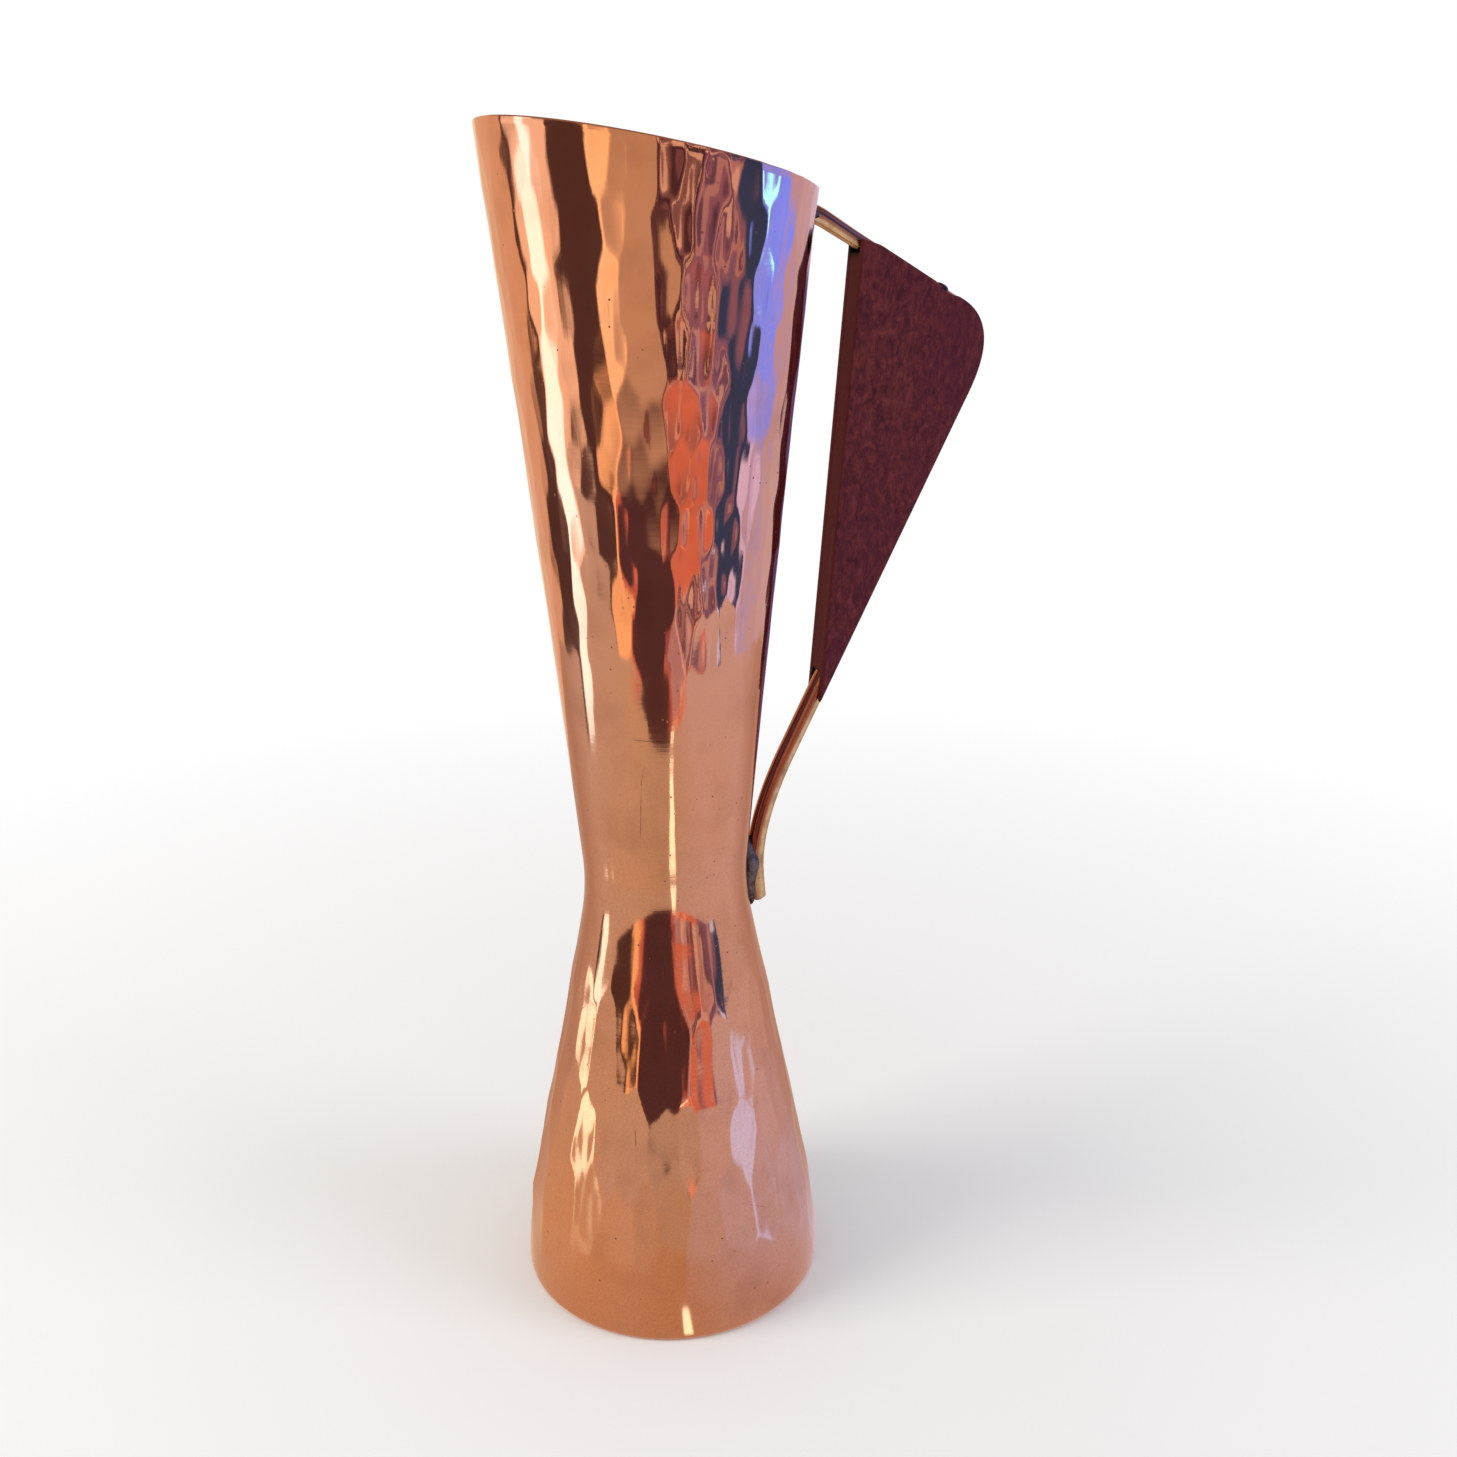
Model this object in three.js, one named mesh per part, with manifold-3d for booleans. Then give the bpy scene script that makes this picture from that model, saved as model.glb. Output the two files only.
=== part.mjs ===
// A waisted copper vase, hammered from sheet, with a rim that is cut off slanting.
// A bent brass rod is soldered on as its handle and carries a triangular wooden grip.
// Millimetres, +Z up. The origin is the middle of the flat base, and the handle stands out along +X.

import * as THREE from 'three';
import { mergeVertices } from 'three/addons/utils/BufferGeometryUtils.js';
import Module from 'manifold-3d';

const wasm = await Module();
wasm.setup();

// Copper wall: outside diameters, and heights above the base
const RIM_HEIGHT = 350; // highest point of the rim, on the side away from the handle
const RIM_DROP = 18; // how much lower the rim is on the handle side
const RIM_DIAMETER = 92;
const RIM_FLARE = 2; // how far the rim stands outside the straight upper cone
const WAIST_HEIGHT = 133; // where the upper and the lower cone would meet
const WAIST_DIAMETER = 48.6; // across that meeting
const WAIST_BLEND = 10; // height over which the waist is rounded, both above and below
const BASE_DIAMETER = 95.2;
const SKIRT_HEIGHT = 11.3; // near-upright band under the lower cone
const SKIRT_BLEND = 17; // height over which that band runs into the cone
const EDGE_RADIUS = 2; // outside radius of the lower edge
const WALL = 1; // thickness of the copper sheet
const LEDGE_WIDTH = 4; // flat ledge turned in under the wall

// Copper bottom and its seam
const BOTTOM_THICKNESS = 1;
const SEAM_GAP = 0.3; // round the edge of the bottom
const BEAD_WIDTH = 5;
const BEAD_HEIGHT = 1.2;

// Brass rod: its centre line lies in the plane y = 0
const ROD_ROOT_DIAMETER = 5.2; // at the wall, under the rim
const ROD_TOP_DIAMETER = 4.4; // where it reaches the grip
const ROD_FOOT_DIAMETER = 5.4;
const HANDLE_REACH = 106.2; // from the vase's axis to the corner of the centre line
const JOINT_BELOW_RIM = 3.6; // from the rim's lowest point down to the rod's centre
const NECK_LENGTH = 4.6; // level length of the first stretch, out from the wall
const NECK_SLOPE = 14; // degrees below level
const NECK_BEND = 3; // length of the bend on each side of its corner
const TOP_SLOPE = 29; // degrees below level of the stretch along the grip
const CORNER_BEND_TOP = 14; // length of the outer bend on the top stretch
const CORNER_BEND_OUTER = 22; // and on the outer stretch
const FOOT_CORNER_ABOVE_WAIST = 13.7;
const FOOT_BEND_UPPER = 26; // length of the foot's bend on the outer stretch
const FOOT_BEND_LOWER = 17; // and on the foot
const FOOT_BELOW_WAIST = 11.7;
const FOOT_LEAN = 5; // degrees from upright, outwards on the way down
const FOOT_STANDOFF = 1.5; // from the wall to the rod's end
const FOOT_ROUND = 1.2; // radius round the edge of that end

// Wooden grip
const BOARD_THICKNESS = 9.6;
const GRIP_TOP_LENGTH = 52.4; // along the rod's centre line, from its corner to the grip's inner end
const GRIP_OUTER_LENGTH = 124; // from that corner down to the grip's tip
const ROD_SINK = 0.8; // how deep the rod's centre line lies under the board's edge
const GROOVE_DEPTH = 4.4; // from the board's edge
const GROOVE_CLEARANCE = 0.2; // between the rod's thickest part and each cheek
const EASE_DROP = 1.4; // the top edge's inner end is worn down by this much
const EASE_RUN = 14; // and over this length
const TIP_CUT = 1.6; // the tip is blunted this far up each edge
const CHEEK_LOSS = 9; // length broken off the rear cheek at the inner end
const CHEEK_STUB = 0.3; // what the break leaves of it above the groove's floor

// Pin through the rod into the board
const PIN_FROM_INNER_END = 31.9;
const PIN_HEAD_DIAMETER = 4.7;
const PIN_HEAD_HEIGHT = 1.5;
const PIN_SEAT = 1.5; // underside of the head above the rod's centre line
const PIN_SHANK_DIAMETER = 1.8;
const PIN_LENGTH = 12; // below the head
const PIN_POINT = 2; // length of its pointed end

// Solder at the rod's ends: half sizes of an egg-shaped lump
const UPPER_SOLDER = new THREE.Vector3(7, 3.9, 3.5); // along the rod, sideways, across the rod
const LOWER_SOLDER = new THREE.Vector3(4.2, 3.8, 11.5); // out from the wall, sideways, upright
const LOWER_SOLDER_SHIFT = 1; // from the wall to the lower lump's centre

// Fit and fineness
const FIT_GAP = 0.3; // between a piece and a neighbour that it is cut to
const CUT_MARGIN = 5; // how far a cutting shape reaches past what it cuts
const TURN_STEPS = 60;
const BEND_STEPS = 6;
const ROD_SIDES = 14;
const ROUND_STEPS = 3;

const rimRadius = RIM_DIAMETER / 2;
const waistRadius = WAIST_DIAMETER / 2;
const baseRadius = BASE_DIAMETER / 2;
const openingRadius = baseRadius - EDGE_RADIUS - LEDGE_WIDTH;
const rimSlope = RIM_DROP / RIM_DIAMETER;

function radians(degrees) {
  return THREE.MathUtils.degToRad(degrees);
}

// Solids

function solid(geometry) {
  geometry.deleteAttribute('normal');
  geometry.deleteAttribute('uv');
  const merged = mergeVertices(geometry);
  const corners = merged.index.array;
  const triVerts = [];
  for (let i = 0; i < corners.length; i += 3) {
    const [a, b, c] = corners.slice(i, i + 3);
    if (a !== b && b !== c && c !== a) triVerts.push(a, b, c);
  }
  const vertProperties = Float32Array.from(merged.attributes.position.array);
  return new wasm.Manifold(new wasm.Mesh({ numProp: 3, vertProperties, triVerts: Uint32Array.from(triVerts) }));
}

function piece(name, shape, material) {
  const { vertProperties, triVerts } = shape.getMesh();
  const geometry = new THREE.BufferGeometry();
  geometry.setAttribute('position', new THREE.BufferAttribute(vertProperties, 3));
  geometry.setIndex(new THREE.BufferAttribute(triVerts, 1));
  geometry.computeVertexNormals();
  const mesh = new THREE.Mesh(geometry, material);
  mesh.name = name;
  return mesh;
}

// Turns an outline of (radius, height) points about the Z axis
function turned(outline) {
  return solid(new THREE.LatheGeometry(outline, TURN_STEPS).rotateX(Math.PI / 2));
}

// A plate with an outline of (x, z) points, from y = front to y = rear
function plate(outline, front, rear) {
  const settings = { depth: rear - front, bevelEnabled: false };
  const geometry = new THREE.ExtrudeGeometry(new THREE.Shape(outline), settings);
  return solid(geometry.rotateX(Math.PI / 2).translate(0, rear, 0));
}

// Moves a line of points sideways, to the left of the way it runs
function offsetLine(points, distance) {
  return points.map((point, i) => {
    const before = points[Math.max(i - 1, 0)];
    const after = points[Math.min(i + 1, points.length - 1)];
    const along = after.clone().sub(before).normalize();
    return new THREE.Vector2(point.x - along.y * distance, point.y + along.x * distance);
  });
}

// The point that lies a given length from one corner on the way to another
function towards(from, to, length) {
  return to.clone().sub(from).setLength(length).add(from);
}

// A line through corners that are rounded by bends of the given lengths before and after each
function bentLine(start, corners, end) {
  const line = new THREE.Path();
  line.moveTo(start.x, start.y);
  corners.forEach(({ at, before, after }, i) => {
    const last = i === 0 ? start : corners[i - 1].at;
    const next = i === corners.length - 1 ? end : corners[i + 1].at;
    const bendStart = towards(at, last, before);
    const bendEnd = towards(at, next, after);
    line.lineTo(bendStart.x, bendStart.y);
    line.quadraticCurveTo(at.x, at.y, bendEnd.x, bendEnd.y);
  });
  line.lineTo(end.x, end.y);
  return line.getPoints(BEND_STEPS);
}

// Copper wall

function lowerConeRadius(height) {
  const share = (height - SKIRT_HEIGHT) / (WAIST_HEIGHT - SKIRT_HEIGHT);
  return THREE.MathUtils.lerp(baseRadius, waistRadius, share);
}

function upperConeRadius(height) {
  const share = (height - WAIST_HEIGHT) / (RIM_HEIGHT - WAIST_HEIGHT);
  return THREE.MathUtils.lerp(waistRadius, rimRadius - RIM_FLARE, share);
}

// The outside of the wall from the ledge to a little above the rim
function wallOutline() {
  const skirtTop = SKIRT_HEIGHT + SKIRT_BLEND;
  const blendBottom = WAIST_HEIGHT - WAIST_BLEND;
  const blendTop = WAIST_HEIGHT + WAIST_BLEND;
  const flareMiddle = (blendTop + RIM_HEIGHT) / 2;
  const flareSlope = (rimRadius - upperConeRadius(flareMiddle)) / (RIM_HEIGHT - flareMiddle);
  const outline = new THREE.Path();
  outline.moveTo(openingRadius, 0);
  outline.lineTo(baseRadius - EDGE_RADIUS, 0);
  outline.quadraticCurveTo(baseRadius, 0, baseRadius, EDGE_RADIUS);
  outline.quadraticCurveTo(baseRadius, SKIRT_HEIGHT, lowerConeRadius(skirtTop), skirtTop);
  outline.lineTo(lowerConeRadius(blendBottom), blendBottom);
  outline.quadraticCurveTo(waistRadius, WAIST_HEIGHT, upperConeRadius(blendTop), blendTop);
  outline.quadraticCurveTo(upperConeRadius(flareMiddle), flareMiddle, rimRadius, RIM_HEIGHT);
  outline.lineTo(rimRadius + flareSlope * CUT_MARGIN, RIM_HEIGHT + CUT_MARGIN);
  return outline.getPoints(BEND_STEPS);
}

const outside = wallOutline();

// The wall's outside radius at a height above its lower edge
function wallRadius(height) {
  const above = outside.findIndex((point) => point.y > height);
  const low = outside[above - 1];
  const high = outside[above];
  return THREE.MathUtils.mapLinear(height, low.y, high.y, low.x, high.x);
}

// The whole space inside the wall's outside face, grown by a clearance
function wallEnvelope(clearance) {
  const grown = offsetLine(outside, -clearance);
  const bottom = new THREE.Vector2(0, -clearance);
  const top = new THREE.Vector2(0, RIM_HEIGHT + CUT_MARGIN);
  return turned([bottom, ...grown, top]);
}

// All that lies above the slanting plane of the rim
function aboveRim() {
  const size = RIM_DIAMETER * 2;
  const middleHeight = RIM_HEIGHT - RIM_DROP / 2;
  const block = new THREE.BoxGeometry(size, size, size).translate(0, 0, size / 2);
  return solid(block.rotateY(Math.atan(rimSlope)).translate(0, 0, middleHeight));
}

function vaseBody() {
  const inside = offsetLine(outside, WALL).reverse();
  return turned([...outside, ...inside, outside[0]]).subtract(aboveRim());
}

function baseDisc() {
  const radius = openingRadius - SEAM_GAP;
  const outline = [
    new THREE.Vector2(0, 0),
    new THREE.Vector2(radius, 0),
    new THREE.Vector2(radius, BOTTOM_THICKNESS),
    new THREE.Vector2(0, BOTTOM_THICKNESS),
  ];
  return turned(outline);
}

// A flat-bottomed bead that lies on the ledge and the bottom, over the seam between them
function baseSolder() {
  const seat = Math.max(WALL, BOTTOM_THICKNESS);
  const bead = new THREE.Path();
  bead.moveTo(openingRadius - BEAD_WIDTH / 2, seat);
  bead.lineTo(openingRadius + BEAD_WIDTH / 2, seat);
  bead.quadraticCurveTo(openingRadius, seat + BEAD_HEIGHT * 2, openingRadius - BEAD_WIDTH / 2, seat);
  return turned(bead.getPoints(BEND_STEPS));
}

// Course of the brass rod, as (x, z) points in the plane y = 0

const jointHeight = RIM_HEIGHT - RIM_DROP - JOINT_BELOW_RIM;
const jointRadius = wallRadius(jointHeight);
const neckDrop = Math.tan(radians(NECK_SLOPE));
const rodStart = new THREE.Vector2(jointRadius - CUT_MARGIN, jointHeight + neckDrop * CUT_MARGIN);
const neckCorner = new THREE.Vector2(jointRadius + NECK_LENGTH, jointHeight - neckDrop * NECK_LENGTH);
const topRun = HANDLE_REACH - neckCorner.x;
const rodCorner = new THREE.Vector2(HANDLE_REACH, neckCorner.y - Math.tan(radians(TOP_SLOPE)) * topRun);
const footReach = FOOT_STANDOFF + ROD_FOOT_DIAMETER / 2;
const footEndHeight = WAIST_HEIGHT - FOOT_BELOW_WAIST;
const footEnd = new THREE.Vector2(wallRadius(footEndHeight) + footReach, footEndHeight);
const footRise = FOOT_CORNER_ABOVE_WAIST + FOOT_BELOW_WAIST;
const footShift = Math.tan(radians(FOOT_LEAN)) * footRise;
const footCorner = new THREE.Vector2(footEnd.x - footShift, footEnd.y + footRise);

const outerWay = footCorner.clone().sub(rodCorner).normalize();
const topWay = neckCorner.clone().sub(rodCorner).normalize();
const gripStart = rodCorner.clone().addScaledVector(topWay, GRIP_TOP_LENGTH);

const neckLine = bentLine(rodStart, [{ at: neckCorner, before: NECK_BEND, after: NECK_BEND }], gripStart);
const gripAndFootLine = bentLine(
  gripStart,
  [
    { at: rodCorner, before: CORNER_BEND_TOP, after: CORNER_BEND_OUTER },
    { at: footCorner, before: FOOT_BEND_UPPER, after: FOOT_BEND_LOWER },
  ],
  footEnd,
);

// The points of a line, each with its direction and the radius of a rod that tapers evenly
function taperedStations(line, startDiameter, endDiameter) {
  let length = 0;
  const reach = line.map((point, i) => {
    length += i === 0 ? 0 : point.distanceTo(line[i - 1]);
    return length;
  });
  return line.map((centre, i) => {
    const before = line[Math.max(i - 1, 0)];
    const after = line[Math.min(i + 1, line.length - 1)];
    const radius = THREE.MathUtils.mapLinear(reach[i], 0, length, startDiameter, endDiameter) / 2;
    return { centre, radius, along: after.clone().sub(before).normalize() };
  });
}

// The round rod, thinnest where the grip begins, with a rounded edge at its foot
function roundRod(growth) {
  const neck = taperedStations(neckLine, ROD_ROOT_DIAMETER, ROD_TOP_DIAMETER);
  const rest = taperedStations(gripAndFootLine, ROD_TOP_DIAMETER, ROD_FOOT_DIAMETER);
  const stations = [...neck, ...rest.slice(1, -1)];
  const along = footEnd.clone().sub(footCorner).normalize();
  for (let step = 0; step <= ROUND_STEPS; step += 1) {
    const angle = (step / ROUND_STEPS) * (Math.PI / 2);
    const centre = footEnd.clone().addScaledVector(along, FOOT_ROUND * (Math.sin(angle) - 1));
    const radius = ROD_FOOT_DIAMETER / 2 + FOOT_ROUND * (Math.cos(angle) - 1);
    stations.push({ centre, radius, along });
  }
  return solid(sweptRings(stations, growth, footEnd));
}

// Joins rings round the stations' centres into one skin, with a flat start and a pointed end
function sweptRings(stations, growth, end) {
  const points = [];
  stations.forEach(({ centre, radius, along }) => {
    for (let side = 0; side < ROD_SIDES; side += 1) {
      const angle = (side / ROD_SIDES) * Math.PI * 2;
      const across = (radius + growth) * Math.cos(angle);
      const offset = (radius + growth) * Math.sin(angle);
      points.push(centre.x - along.y * across, offset, centre.y + along.x * across);
    }
  });
  const first = stations[0].centre;
  points.push(first.x, 0, first.y, end.x, 0, end.y);
  const startPoint = stations.length * ROD_SIDES;
  const lastRing = (stations.length - 1) * ROD_SIDES;
  const faces = [];
  for (let side = 0; side < ROD_SIDES; side += 1) {
    const next = (side + 1) % ROD_SIDES;
    faces.push(startPoint, side, next, startPoint + 1, lastRing + next, lastRing + side);
    for (let ring = 0; ring < lastRing; ring += ROD_SIDES) {
      const ahead = ring + ROD_SIDES;
      faces.push(ring + side, ahead + side, ring + next, ring + next, ahead + side, ahead + next);
    }
  }
  const geometry = new THREE.BufferGeometry();
  geometry.setAttribute('position', new THREE.Float32BufferAttribute(points, 3));
  geometry.setIndex(faces);
  return geometry;
}

// Wooden grip: its edges follow the rod's centre line

// The rod's centre line beside the grip, made longer at each end by a margin
function gripLine(margin) {
  const start = gripStart.clone().addScaledVector(topWay, margin);
  const end = rodCorner.clone().addScaledVector(outerWay, GRIP_OUTER_LENGTH + margin);
  return bentLine(start, [{ at: rodCorner, before: CORNER_BEND_TOP, after: CORNER_BEND_OUTER }], end);
}

function boardOutline() {
  const edge = offsetLine(gripLine(0), ROD_SINK);
  const innerTop = edge[0];
  const tip = edge.at(-1);
  const wornTop = towards(innerTop, tip, EASE_DROP);
  const wornEnd = towards(innerTop, edge[1], EASE_RUN);
  const bluntOuter = towards(tip, edge.at(-2), TIP_CUT);
  const bluntInner = towards(tip, innerTop, TIP_CUT);
  return [wornTop, wornEnd, ...edge.slice(1, -1), bluntOuter, bluntInner];
}

// The strip of the handle's plane outwards from a given depth under the board's edge
function edgeStrip(line, depth) {
  const floor = offsetLine(line, ROD_SINK - depth);
  const outer = offsetLine(line, CUT_MARGIN);
  return [...floor, ...outer.reverse()];
}

function grip() {
  const half = BOARD_THICKNESS / 2;
  const grooveHalf = ROD_FOOT_DIAMETER / 2 + GROOVE_CLEARANCE;
  const longLine = gripLine(CUT_MARGIN);
  const groove = plate(edgeStrip(longLine, GROOVE_DEPTH), -grooveHalf, grooveHalf);
  const lossLine = [longLine[0], towards(longLine[0], rodCorner, CUT_MARGIN + CHEEK_LOSS)];
  const brokenCheek = plate(edgeStrip(lossLine, GROOVE_DEPTH - CHEEK_STUB), 0, half + CUT_MARGIN);
  const board = plate(boardOutline(), -half, half);
  return board.subtract(groove).subtract(brokenCheek).subtract(pinBore(FIT_GAP));
}

// Pin: turned upright, then laid square to the rod's top stretch

const pinPlace = towards(rodCorner, neckCorner, GRIP_TOP_LENGTH - PIN_FROM_INNER_END);

function atPin(outline) {
  const geometry = new THREE.LatheGeometry(outline, TURN_STEPS / 2).rotateX(Math.PI / 2);
  geometry.rotateY(radians(TOP_SLOPE)).translate(pinPlace.x, 0, pinPlace.y);
  return solid(geometry);
}

function gripPin() {
  const shank = PIN_SHANK_DIAMETER / 2;
  const head = PIN_HEAD_DIAMETER / 2;
  const outline = new THREE.Path();
  outline.moveTo(0, PIN_SEAT - PIN_LENGTH);
  outline.lineTo(shank, PIN_SEAT - PIN_LENGTH + PIN_POINT);
  outline.lineTo(shank, PIN_SEAT);
  outline.lineTo(head, PIN_SEAT);
  outline.quadraticCurveTo(head, PIN_SEAT + PIN_HEAD_HEIGHT, 0, PIN_SEAT + PIN_HEAD_HEIGHT);
  return atPin(outline.getPoints(BEND_STEPS));
}

// The pin's hole, longer than the pin
function pinBore(clearance) {
  const radius = PIN_SHANK_DIAMETER / 2 + clearance;
  const bottom = PIN_SEAT - PIN_LENGTH - clearance;
  const top = PIN_SEAT + CUT_MARGIN;
  const corners = [[0, bottom], [radius, bottom], [radius, top], [0, top]];
  return atPin(corners.map(([across, along]) => new THREE.Vector2(across, along)));
}

// The flat filed on top of the rod for the pin's head
function pinSeat(clearance) {
  const radius = PIN_HEAD_DIAMETER / 2 + clearance;
  const bottom = PIN_SEAT - clearance;
  const top = PIN_SEAT + CUT_MARGIN;
  const corners = [[0, bottom], [radius, bottom], [radius, top], [0, top]];
  return atPin(corners.map(([across, along]) => new THREE.Vector2(across, along)));
}

function handleRod() {
  const rod = roundRod(0).subtract(wallEnvelope(FIT_GAP));
  return rod.subtract(pinBore(FIT_GAP)).subtract(pinSeat(FIT_GAP));
}

// Solder lumps, cut to the wall and to the rod

function solderLump(halfSizes, slope, x, z) {
  const lump = new THREE.SphereGeometry(1, TURN_STEPS / 2, TURN_STEPS / 4).scale(...halfSizes.toArray());
  lump.rotateY(radians(slope)).translate(x, 0, z);
  return solid(lump).subtract(wallEnvelope(FIT_GAP)).subtract(roundRod(FIT_GAP));
}

function upperSolder() {
  return solderLump(UPPER_SOLDER, NECK_SLOPE, jointRadius, jointHeight);
}

// Its lower end is level with the rod's
function lowerSolder() {
  const height = footEndHeight + LOWER_SOLDER.z;
  return solderLump(LOWER_SOLDER, 0, wallRadius(height) + LOWER_SOLDER_SHIFT, height);
}

const copper = new THREE.MeshStandardMaterial({ color: 0xb8714a, roughness: 0.3, metalness: 1 });
const brass = new THREE.MeshStandardMaterial({ color: 0xa9783f, roughness: 0.28, metalness: 1 });
const wood = new THREE.MeshStandardMaterial({ color: 0x56252e, roughness: 0.55, metalness: 0 });
const tin = new THREE.MeshStandardMaterial({ color: 0x77757a, roughness: 0.45, metalness: 1 });
const darkSteel = new THREE.MeshStandardMaterial({ color: 0x3f3030, roughness: 0.4, metalness: 1 });

const vase = new THREE.Group();
vase.add(piece('vase_body', vaseBody(), copper));
vase.add(piece('base_disc', baseDisc(), copper.clone()));
vase.add(piece('base_solder', baseSolder(), tin.clone()));
vase.add(piece('handle_rod', handleRod(), brass));
vase.add(piece('upper_solder', upperSolder(), tin.clone()));
vase.add(piece('lower_solder', lowerSolder(), tin.clone()));
vase.add(piece('grip', grip(), wood));
vase.add(piece('grip_pin', gripPin(), darkSteel));

export default vase;
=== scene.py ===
# %% [markdown]
# # A hammered copper vase
# The real vase is one sheet of copper, raised over a stake with a hammer until it has two cones that
# meet at a narrow waist. A bent brass rod is soldered on as a handle and carries a wooden grip.
# The imported solids fix every size and place. This lesson puts a surface over them: it works
# out each shape as an array of points and gives each finish its own small network of nodes.

# %% Load the imported solids
import math

import bpy
import numpy as np
from mathutils import Matrix, Vector


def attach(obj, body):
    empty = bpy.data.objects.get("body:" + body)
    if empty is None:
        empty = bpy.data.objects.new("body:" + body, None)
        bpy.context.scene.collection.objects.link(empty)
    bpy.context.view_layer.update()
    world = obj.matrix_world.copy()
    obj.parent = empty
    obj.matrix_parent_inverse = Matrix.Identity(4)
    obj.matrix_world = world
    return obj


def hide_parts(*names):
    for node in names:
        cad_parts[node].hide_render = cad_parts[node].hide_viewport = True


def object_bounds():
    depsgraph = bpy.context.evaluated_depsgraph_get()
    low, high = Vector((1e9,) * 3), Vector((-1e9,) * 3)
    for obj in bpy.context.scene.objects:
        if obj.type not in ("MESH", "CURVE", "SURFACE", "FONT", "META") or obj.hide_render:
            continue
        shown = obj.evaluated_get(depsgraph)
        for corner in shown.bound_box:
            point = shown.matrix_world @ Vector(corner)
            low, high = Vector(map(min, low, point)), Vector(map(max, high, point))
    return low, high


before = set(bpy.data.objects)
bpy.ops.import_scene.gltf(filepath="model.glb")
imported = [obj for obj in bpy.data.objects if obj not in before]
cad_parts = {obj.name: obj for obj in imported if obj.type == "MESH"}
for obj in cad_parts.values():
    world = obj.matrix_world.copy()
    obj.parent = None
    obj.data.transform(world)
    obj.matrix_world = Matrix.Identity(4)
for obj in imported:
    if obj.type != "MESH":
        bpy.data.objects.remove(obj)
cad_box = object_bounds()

MM = 0.001
BODY = "root"
print("solids:", ", ".join(sorted(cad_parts)))

# %% [markdown]
# ## The camera's place
# The camera stands a little in front of the vase and to its left, and looks down on it. Its place comes
# from the vase's own outlines: a round foot that is seen as an ellipse says how steeply we look down.
# The camera looks along its own -Z axis, so we build its three axes and put them in a matrix.

# %% Place the camera
HANDLE_TURN = math.radians(19.5)  # the handle points this far away from the picture's plane
CAMERA_DISTANCE = 419.1 * MM  # level distance from the vase's axis
CAMERA_HEIGHT = 322.5 * MM
CAMERA_PITCH = math.radians(18.52)  # downwards
CAMERA_YAW = math.radians(2.674)  # to the right of the vase's axis
CAMERA_ROLL = math.radians(-0.364)
PICTURE_SIZE = 1457
FOCAL_PIXELS = 1482
SENSOR = 36

def camera_matrix():
    """The camera's right, up and backward axes as columns, and its place. The look direction is the way
    to the vase's axis, turned by the yaw and tipped by the pitch; the roll turns right towards up."""
    heading = math.pi / 2 - HANDLE_TURN - CAMERA_YAW
    level = Vector((math.cos(heading), math.sin(heading), 0))
    forward = level * math.cos(CAMERA_PITCH) - Vector((0, 0, math.sin(CAMERA_PITCH)))
    right = Vector((level.y, -level.x, 0))
    up = right.cross(forward)
    rolled_right = right * math.cos(CAMERA_ROLL) + up * math.sin(CAMERA_ROLL)
    rolled_up = up * math.cos(CAMERA_ROLL) - right * math.sin(CAMERA_ROLL)
    axes = Matrix((rolled_right, rolled_up, -forward)).transposed().to_4x4()
    place = Vector((-math.sin(HANDLE_TURN), -math.cos(HANDLE_TURN), 0)) * CAMERA_DISTANCE
    place.z = CAMERA_HEIGHT
    return Matrix.Translation(place) @ axes

camera_data = bpy.data.cameras.new("camera")
camera_data.sensor_width = SENSOR
camera_data.lens = FOCAL_PIXELS / PICTURE_SIZE * SENSOR
camera = bpy.data.objects.new("camera", camera_data)
camera.matrix_world = camera_matrix()
bpy.context.scene.collection.objects.link(camera)
bpy.context.scene.camera = camera
print("camera at", [round(v, 4) for v in camera.location], "lens", round(camera_data.lens, 2))

# %% [markdown]
# ## From numbers to a mesh
# Nearly every piece here is a grid of points: one direction runs round the piece, the other along it.
# The helper takes such an array, joins neighbours into four-sided faces, and hands the whole lot to
# Blender in one go, which is far quicker than adding points one by one.

# %% Helpers: a closed mesh from a grid of points
def stacked(*parts):
    """Coordinates joined into points. Parts with fewer values are repeated to fit."""
    return np.stack(np.broadcast_arrays(*parts), axis=-1)

def turns(count):
    """Even angles all the way round, in radians."""
    return np.arange(count) / count * 2 * np.pi

def grid_faces(rows, columns, closed_rows=False):
    """Corner numbers of the faces between neighbouring rows. Columns always close on themselves."""
    row = np.arange(rows if closed_rows else rows - 1)[:, None]
    column = np.arange(columns)[None, :]
    next_row = (row + 1) % rows
    next_column = (column + 1) % columns
    return stacked(row * columns + column, row * columns + next_column,
                   next_row * columns + next_column, next_row * columns + column).reshape(-1, 4)

def new_object(name, data):
    """An object in the scene that shows a mesh or a lamp."""
    item = bpy.data.objects.new(name, data)
    bpy.context.scene.collection.objects.link(item)
    return item

def mesh_piece(name, points, faces, material, poles=(), sharp_angle=None):
    """A smooth-shaded piece. Each pole is (point, ring of corner numbers) and closes a ring with a fan.
    Edges that turn by more than the sharp angle, in degrees, stay sharp."""
    points = np.asarray(points, float).reshape(-1, 3)
    face_list = [tuple(face) for face in faces.tolist()]
    for tip, ring in poles:
        tip_number = len(points)
        points = np.vstack([points, tip])
        face_list += [(a, b, tip_number) for a, b in zip(ring, np.roll(ring, -1).tolist())]
    mesh = bpy.data.meshes.new(name)
    mesh.from_pydata(points.tolist(), [], face_list)
    mesh.polygons.foreach_set("use_smooth", np.ones(len(mesh.polygons), bool))
    mesh.materials.append(material)
    mesh.validate()
    if sharp_angle:
        mesh.set_sharp_from_angle(angle=math.radians(sharp_angle))
    print(f"{name}: {len(points)} points, {sum(len(face) - 2 for face in face_list)} triangles")
    return new_object(name, mesh)

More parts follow.
